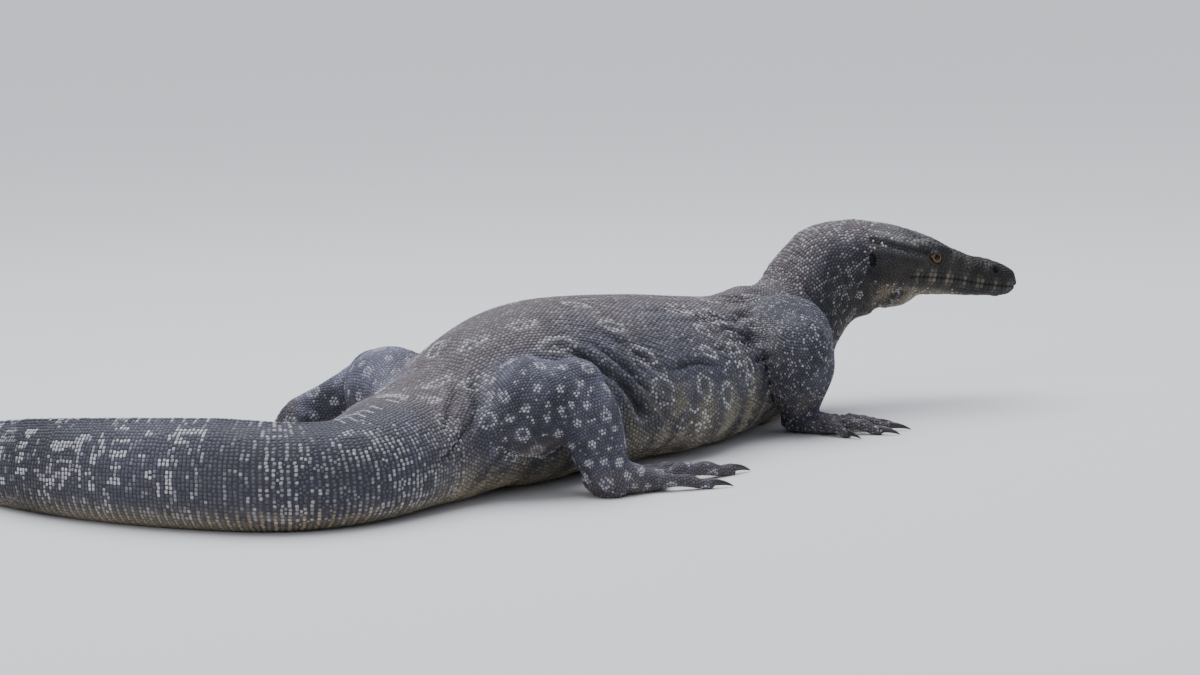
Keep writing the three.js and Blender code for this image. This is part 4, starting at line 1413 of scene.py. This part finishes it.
# the hind legs are paler on top with painted sky light, most of all at the far knee, and the fore legs are
# darker
for tone_and_painted_light in (
    # painted sky light: the more a hind leg's scale faces up, the paler it is
    (limb & ~fore & (s < 2)) * (0.34 * (s >= 1) + 0.95 * ramp(facing_up, 0.2, 0.85)),
    0.75 * ((s < 1.5) & (form == LEG_NUMBERS["left_hind"])) * ramp(facing_up, -0.3, 0.6),
    -0.14 * fore,
):
    leg_ground = leg_ground * (1 + tone_and_painted_light)[:, None]
leg_ground = layered(
    leg_ground,
    (paint(118, 115, 117), 0.55 * arm_back),
    (paint(110, 100, 106), 0.42 * (s >= 2)),
    (paint(148, 148, 158), 0.66 * glow_leg),
    (blend(CREAM, UMBER, 0.7 + 0.3 * mottle), inner * 0.8),
)
ground[limb] = leg_ground[limb]
pale[limb] = (pale_leg * (1 - 0.6 * inner))[limb]

# the legs' colour fades into the body's where they join, with a row of pale scales along the
# edge of the thigh
FADE = 22
faded = []
for own, other in ((limb, on_long), (on_long, limb)):
    inside, outside = (np.nonzero(some & (s > VENT - 60))[0] for some in (own, other))
    joined_to = tree_of(at[outside], outside)
    found = [joined_to.find(point) for point in at[inside].tolist()]
    like, gone = (np.array([each[k] for each in found]) for k in (1, 2))
    faded.append((inside, blend(ground[inside], ground[like], 0.5 * (1 - ramp(gone, 2, FADE)))))
    if own is limb:
        toward = scale_normals[inside]
        on_thigh = ~fore[inside] & (s[inside] < 1.4) & ((toward[:, 2] > 0.3) | (toward[:, 0] > 0.3))
        on_thigh &= np.abs(at[inside, 0] + 4) < 84
        rim = on_thigh * hump((gone - 4) / 3) * (0.44 + 0.34 * second[inside])
        pale[inside] = np.maximum(pale[inside], rim)
for inside, colours in faded:
    ground[inside] = colours

# the head: grey above, a pale line over a black streak behind the eye, brown cheeks darkened with painted
# shade, barred lips
LIP_BAR = 16.5
x, y, z = in_skull(at).T
across = np.abs(y)
sides = ramp(across, 9, 16)
nape = (1 - ramp(x, -5, 24)) * ramp(z, -2, 16)
cheek = sides * (1 - ramp(z, 6, 13)) * (1 - ramp(x, 52, 72))
streak_line = 18.5 - 0.06 * np.maximum(x, 0)
temple = sides * band_at((z - streak_line) / 4.2) * (1 - ramp(x, 58, 64)) * ramp(x, -16, 0)
stripe = band_at((z - streak_line - 7.5) / 2.8) * (1 - ramp(x, 46, 62)) * ramp(x, -6, 8)
lip = sides * ramp(x, 44, 54) * band_at((z - mouth_line(x)[:, 0]) / 8)
bars = np.sin(x * 2 * math.pi / LIP_BAR + 0.6)
snout_bands = hump((x - 104) / 4) + hump((x - 124) / 3.4) + hump((x - 86) / 3)
throat = (1 - ramp(z, -27, -15)) * (0.35 + 0.65 * ramp(x, -4, 34))
head_ground = layered(
    paint(104, 102, 104),
    (paint(66, 65, 66), 0.35 + 0.3 * mottle),
    (paint(40, 38, 36), 0.88 * ramp(x, 40, 76)),
    (BACK_GREY * 0.9, 0.7 * nape),
    # the cheeks: brown, darkened with painted shade
    (blend(BARK * 0.5, paint(36, 38, 34), 0.6 + 0.4 * mottle), 0.9 * cheek),
    (paint(70, 58, 48), 0.3 * cheek * hump((x - 30) / 16, (z + 4) / 8)),
    (paint(24, 24, 26), 0.95 * temple),
    (paint(132, 134, 128), 0.7 * stripe * ramp(across, 14, 19)),
    (paint(132, 123, 106), 0.6 * lip * ramp(bars, 0.05, 0.5) * (0.7 + 0.3 * second)),
    (paint(36, 34, 34), 0.55 * lip * ramp(-bars, 0.2, 0.7)),
    (paint(16, 14, 13), 0.9 * ramp(x, 84, 112) * (1 - 0.6 * lip)),
    (paint(104, 96, 86), 0.35 * snout_bands * ramp(z, 0, 10) * (1 - lip)),
    (blend(CREAM * 0.75, BARK, 0.4 + 0.35 * mottle), 0.7 * throat),
    (INK, 0.7 * (1 - ramp(x, -2, 20)) * sides * (1 - ramp(z, 2, 14))),
    # dark patches of painted shade on the cheeks
    (INK, 0.5 * cheek * ramp(Waves(36, 13)(at), 0.5, 1.0)),
)
behind_ear = hump((x + 4 - 0.16 * (z + 1)) / 2.6) * sides * (1 - ramp(z, 6, 12)) * ramp(z, -30, -20)
pale_head = np.where(chance < 0.3 * nape, 0.3 + 0.4 * second, 0)
pale_head = np.maximum(pale_head, behind_ear * (0.35 + 0.4 * second))
pale_head = np.maximum(pale_head, np.where(chance < 0.7 * throat, 0.45 * mesh_lines, 0))
ground[head] = head_ground[head]
pale[head] = pale_head[head]

# the creases are darkened with painted shade and lose their pale marks, and every scale has a tone of its
# own
valley, _ = folds_at(at, s, arc)
# painted shade: darker in the folds' valleys
ground = blend(ground, INK * 0.6, np.where(on_long, 0.16 * valley, 0))
pale *= 1 - np.where(on_long, ramp(valley, 1.5, 5), 0)
ground = np.clip(ground * np.exp(0.13 * tone)[:, None], 0.004, 0.9)
colour = blend(ground, BONE, pale)


# Each scale's outline is the space it has among its neighbours, and it rises from a sunk rim
# over a shoulder to a low dome, or to a keel along its middle on the tail.
NEIGHBOURS = 9
GROOVE = 0.93
ROOT_DEPTH = 0.35
LONGEST = 0.74
SHOULDER_SHARE = 0.78
SHOULDER_HEIGHT = 0.66
SHOULDER_RISE = 0.7
TAIL_ALONG = 0.6
TAIL_ACROSS = 1.03
RIM_SHADE = 0.62
LOWEST = 0.05
UNMET = 99.0
LEAST_TOWARD = 0.05
nearby = tree_of(at)
neighbour = np.array([[n[1] for n in nearby.find_n(p, NEIGHBOURS + 1)][1:] for p in at.tolist()])
lie = scales[:, BACK]
lie = lie - scale_normals * (lie * scale_normals).sum(1)[:, None]
lie /= np.maximum(np.linalg.norm(lie, axis=1), 1e-9)[:, None]
breadth = np.cross(scale_normals, lie)
SIX = np.radians([0, 48, 132, 180, 228, 312])
SIX_IN_LINE = np.radians([0, 40, 140, 180, 220, 320])
EIGHT = np.radians(np.arange(8) * 45.0 + 22.5)

# where each scale's root lies on an unwrap of the skin: along and round each form, the head
# round one middle radius, and each leg's lengths laid out beside each other
HEAD_RADIUS = 32
LIMB_SPAN = 110
LIMB_APART = 150
CHART_EDGE = 0.01
RIM_ON_CHART = 0.0015
SHOULDER_ON_CHART = 0.001
charts = np.stack([s, arc], 1)
charts[head] = np.stack([x, np.arctan2(y, z) * HEAD_RADIUS], 1)[head]
limb_length = np.floor(s)
charts[limb] = np.stack([(s - limb_length) * LIMB_SPAN + limb_length * LIMB_APART, arc], 1)[limb]
strewn_on_limb = limb & (np.arange(count) >= count - len(strewn))
beside = at - at[neighbour[:, 0]]
charts[strewn_on_limb] += np.stack([(beside * lie).sum(1), (beside * breadth).sum(1)], 1)[strewn_on_limb]


def cell_reach(group, directions):
    """How far a scale reaches each way before it meets a neighbour"""
    reach = np.full((len(group), len(directions)), UNMET)
    ways = [lie[group] * math.cos(d) + breadth[group] * math.sin(d) for d in directions]
    for k in range(NEIGHBOURS):
        off = at[neighbour[group, k]] - at[group]
        for d, way in enumerate(ways):
            toward = (off * way).sum(1)
            limit = (off**2).sum(1) / (2 * np.maximum(toward, LEAST_TOWARD))
            reach[:, d] = np.where(toward > LEAST_TOWARD, np.minimum(reach[:, d], limit), reach[:, d])
    return np.minimum(reach, LONGEST * scales[group][:, [SPACE]])


def put_values(mesh, name, values):
    """Gives each point of a mesh a colour or a number, for its material to read"""
    if values.ndim == 2:
        layer = mesh.color_attributes.new(name, "FLOAT_COLOR", "POINT")
        layer.data.foreach_set("color", np.column_stack([values, np.ones(len(values))]).ravel())
    else:
        mesh.attributes.new(name, "FLOAT", "POINT").data.foreach_set("value", values)


def scale_piece(name, group, directions, finish):
    """One mesh of the scales in a group: a sunk rim, a shoulder and a top"""
    group = np.nonzero(group)[0]
    sides = len(directions)
    each = 2 * sides + 1
    reach = cell_reach(group, directions) * GROOVE
    roots, normal = at[group], scale_normals[group]
    high, keeled = scales[group, HIGH], scales[group, KEEL]
    on_tail = (ramp(-s, -VENT - 30, -VENT + 30) * on_long)[group][:, None]
    along = np.cos(directions) ** 4
    rim, shoulder = [], []
    for d, direction in enumerate(directions):
        ahead, aside = lie[group] * math.cos(direction), breadth[group] * math.sin(direction)
        rim.append(roots + (ahead + aside) * reach[:, [d]] - normal * ROOT_DEPTH)
        ahead = ahead * (SHOULDER_SHARE + (TAIL_ALONG - SHOULDER_SHARE) * on_tail)
        aside = aside * (SHOULDER_SHARE + (TAIL_ACROSS - SHOULDER_SHARE) * on_tail)
        up = high * (SHOULDER_HEIGHT + 0.3 * keeled * along[d])
        shoulder.append(roots + (ahead + aside) * reach[:, [d]] + normal * up[:, None])
    top = roots + normal * (high * (1 + 0.35 * keeled))[:, None]
    points = np.stack([*rim, *shoulder, top], 1).reshape(-1, 3)
    points[:, 2] = np.maximum(points[:, 2], LOWEST)
    pattern = []
    for d in range(sides):
        e = (d + 1) % sides
        pattern += [(d, e, sides + e), (d, sides + e, sides + d), (sides + d, sides + e, 2 * sides)]
    faces = (np.arange(len(group))[:, None, None] * each + np.array(pattern)).reshape(-1, 3)
    mesh = bpy.data.meshes.new(name)
    mesh.vertices.add(len(points))
    mesh.loops.add(len(faces) * 3)
    mesh.polygons.add(len(faces))
    mesh.vertices.foreach_set("co", (points * MM).ravel())
    mesh.loops.foreach_set("vertex_index", faces.ravel())
    mesh.polygons.foreach_set("loop_start", np.arange(len(faces)) * 3)
    mesh.polygons.foreach_set("use_smooth", np.ones(len(faces), bool))
    mesh.update(calc_edges=True)
    shades = np.repeat(colour[group][:, None], each, 1)
    # painted shade: each scale's rim takes its ground colour darkened, in the groove between scales
    shades[:, :sides] = RIM_SHADE * ground[group][:, None]
    put_values(mesh, "point_colour", shades.reshape(-1, 3))
    put_values(mesh, "rise", np.tile([0.0] * sides + [SHOULDER_RISE] * sides + [1.0], len(group)))
    chart = charts[group]
    low, far = chart.min(0), chart.max(0)
    root = CHART_EDGE + (1 - 2 * CHART_EDGE) * (chart - low) / np.maximum(far - low, 1).max()
    turn = np.concatenate([directions, directions, [0]])
    wide = np.repeat([RIM_ON_CHART, SHOULDER_ON_CHART, 0], [sides, sides, 1])
    spread = np.stack([np.cos(turn) * wide, np.sin(turn) * wide], 1)
    uv = (root[:, None] + spread).reshape(-1, 2)
    mesh.uv_layers.new(name="OFBake").data.foreach_set("uv", uv[faces.ravel()].ravel())
    made = new_object(name, mesh)
    mesh.materials.append(finish)
    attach(made, "root")


def held(tree, name, out=0):
    """What the points of a mesh hold: a colour, or a number with out 2"""
    return Wire.add(tree, "Attribute", {"attribute_name": name}, {}, out)


def noise(where, scale, detail):
    """Noise that stays with the piece, so many cells to a metre"""
    return Wire.add(where.tree, "TexNoise", {}, {"Vector": where, "Scale": scale, "Detail": detail})


def bumps(height, strength, distance):
    """Small relief for a finish, as deep as the distance in metres"""
    return Wire.add(height.tree, "Bump", {}, {"Strength": strength, "Distance": distance, "Height": height})


def scale_finish():
    """Dry horn: its colour, darker in the grooves with painted shade, and a soft sheen on the worn tops"""
    material, tree, shader = finish_tree("scale_horn")
    point_colour = held(tree, "point_colour")
    rise = held(tree, "rise", out=2)
    where = Wire.add(tree, "TexCoord", {}, {}, out=3)
    grain = noise(where, 900, 3)
    dust = noise(where, 38, 4)
    # painted shade: the colour darkens towards each scale's sunk rim
    colour = point_colour.tint("MULTIPLY", (1 - rise) * 0.55, (0.18, 0.17, 0.17, 1))
    colour = colour.tint("MIX", dust * dust * 0.13, (*paint(124, 117, 110), 1))
    roughness = 0.4 + grain * 0.16 + dust * 0.12
    bump = bumps(grain, 0.35, 0.0002)
    feed(tree, shader, Base_Color=colour, Roughness=roughness, Normal=bump, Specular_IOR_Level=0.28)
    return material


horn = scale_finish()

# The coats of the long body, each with where it starts and ends along the spine
BODY_COATS = [
    ("tail_end", TIP - 9, VENT - 700),
    ("tail_middle", VENT - 700, VENT - 350),
    ("tail_root", VENT - 350, VENT + 2),
    ("trunk_rear", VENT + 2, -110),
    ("trunk_middle", -110, 60),
    ("trunk_front", 60, SHOULDER + 20),
    ("neck", SHOULDER + 20, SKULL + 9),
]
for name, start, end in BODY_COATS:
    group = on_long & (s >= start) & (s < end)
    scale_piece("scales_" + name, group, SIX_IN_LINE if name.startswith("tail") else SIX, horn)
scale_piece("scales_head", head, EIGHT, horn)
for name, number in LEG_NUMBERS.items():
    scale_piece("scales_" + name + "_leg", form == number, SIX, horn)

# The skin between the scales: it carries the same markings, darker, and has a fine pebble of
# its own, which shows in the grooves and where the hide is bare.
beneath = [[n[1] for n in nearby.find_n(point, 3)] for point in skin_points.tolist()]
put_values(skin.data, "point_colour", ground[beneath].mean(1))
hide, tree, shader = finish_tree("hide")
point_colour = held(tree, "point_colour")
where = Wire.add(tree, "TexCoord", {}, {}, out=3)
pebble = Wire.add(tree, "TexVoronoi", {}, {"Vector": where, "Scale": 900})
grain = noise(where, 300, 4)
bump = bumps(pebble + grain * 0.4, 0.5, 0.0003)
colour_between = point_colour.tint("MULTIPLY", 0.65 + grain * 0.3, (0.3, 0.28, 0.27, 1))
feed(tree, shader, Base_Color=colour_between, Roughness=0.6 + grain * 0.2, Normal=bump)
skin.data.materials.clear()
skin.data.materials.append(hide)


# The eyes: wet dark globes set deep under the brow, with a round pupil in a brown iris that has
# a thin gold ring, and a clear bulging front.
PUPIL = math.radians(21)
IRIS = math.radians(62)
GLOBE_DARK = paint(22, 16, 13)
IRIS_BROWN = paint(62, 40, 25)
IRIS_GOLD = paint(170, 126, 62)
eye_finish, tree, shader = finish_tree("wet_eye")
point_colour = held(tree, "point_colour")
feed(tree, shader, Base_Color=point_colour, Roughness=0.07, IOR=1.36)
for name, side in (("eye_left", 1), ("eye_right", -1)):
    sight = np.array([0.14, side, 0.12])
    sight /= np.linalg.norm(sight)
    sphere = bmesh.new()
    bmesh.ops.create_uvsphere(sphere, u_segments=96, v_segments=64, radius=1)
    mesh = bpy.data.meshes.new(name + "_globe")
    sphere.to_mesh(mesh)
    sphere.free()
    unit = points_of(mesh) * MM
    unit /= np.linalg.norm(unit, axis=1)[:, None]
    away = np.arccos(np.clip(unit @ sight, -1, 1))
    front = 1 + 0.045 * hump(away / 0.5)
    globe = unit * (EYE_RADIUS * front)[:, None] + np.array(EYE_PLACE) * (1, side, 1)
    put_points(mesh, on_skull(*globe.T))
    mesh.shade_smooth()
    first = np.cross(sight, (0, 0, 1))
    around = np.arctan2(unit @ np.cross(sight, first), unit @ first)
    rays = 0.5 + 0.3 * np.sin(around * 41) + 0.2 * np.sin(around * 67 + 1)
    iris = blend(IRIS_BROWN, GLOBE_DARK, ramp(away, PUPIL, IRIS) * 0.8 + 0.25 * rays)
    shades = layered(
        iris,
        (IRIS_GOLD, 0.45 * hump((away - PUPIL * 1.22) / 0.06)),
        (GLOBE_DARK, ramp(away, IRIS * 0.94, IRIS * 1.04)),
        (np.full(3, 0.002), 1 - ramp(away, PUPIL * 0.94, PUPIL * 1.05)),
    )
    put_values(mesh, "point_colour", shades)
    mesh.materials.append(eye_finish)
    globe_piece = new_object(name + "_globe", mesh)
    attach(globe_piece, "root")
    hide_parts(name)


# The claws: hooks of dark horn, deeper than wide, paler where they leave the toe, with fine streaks.
CLAW_SIDES = 16
CLAW_RINGS = 22
CLAW_BOW = math.radians(52)
CLAW_TIP_CLEAR = 0.4
CLAW_GAP = 0.3
CLAW_ROOT = 2.2
claw_horn, tree, shader = finish_tree("claw_horn")
grown = held(tree, "grown", out=2)
where = Wire.add(tree, "TexCoord", {}, {}, out=3)
streaks = noise(where, 700, 3)
stops = [(0, (0.045, 0.036, 0.03, 1)), (0.3, (0.024, 0.02, 0.018, 1)), (1, (0.012, 0.011, 0.011, 1))]
horn_colour = Wire.add(tree, "ValToRGB", {"stops": stops}, {"Fac": grown + streaks * 0.2 - 0.1})
bump = bumps(streaks, 0.3, 0.0002)
feed(tree, shader, Base_Color=horn_colour, Roughness=0.24 + streaks * 0.16, Normal=bump)
for name, leg in legs.items():
    parts, shares = [], []
    for toe, length in zip(leg["toes"], leg["claws"]):
        base = toe.end_radius * 0.82
        start = toe.end + toe.ahead * (CLAW_GAP - CLAW_ROOT) + UP * toe.end_radius * 0.12
        sweep = (length + CLAW_ROOT) / CLAW_BOW
        drop = min((start[2] - CLAW_TIP_CLEAR - 0.5) / (sweep * (1 - math.cos(CLAW_BOW))), 1)

        def claw_surface(t, angle):
            turn = CLAW_BOW * t
            thin = base * np.sqrt(np.clip(1 - t**1.7, 0.002, 1)) * (1 - 0.45 * t)
            up = np.cos(angle) * thin * np.where(np.cos(angle) > 0, 1, 0.86)
            across = np.sin(angle) * thin * 0.66 * (1 - 0.3 * np.maximum(-np.cos(angle), 0))
            ahead = sweep * np.sin(turn) + up * np.sin(turn) * drop
            high = up * np.cos(turn) - sweep * (1 - np.cos(turn)) * drop
            return start + toe.ahead * ahead[:, None] + toe.left * across[:, None] + UP * high[:, None]

        places = np.sin(np.linspace(0, math.pi / 2, CLAW_RINGS))
        parts.append(shell(claw_surface, places, CLAW_SIDES))
        shares.append(np.concatenate([np.repeat(places, CLAW_SIDES), [0, 1]]))
    side, end = name.split("_")
    foot_name = side + ("_foot" if end == "hind" else "_hand")
    claws = joined("claws_" + foot_name, parts)
    moved = points_of(claws.data)
    moved[:, 2] = np.maximum(moved[:, 2], LOWEST)
    put_points(claws.data, moved)
    claws.data.shade_smooth()
    put_values(claws.data, "grown", np.concatenate(shares))
    claws.data.materials.append(claw_horn)
    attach(claws, "root")
    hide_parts(*[f"{foot_name}_claw_{i + 1}" for i in range(5)])
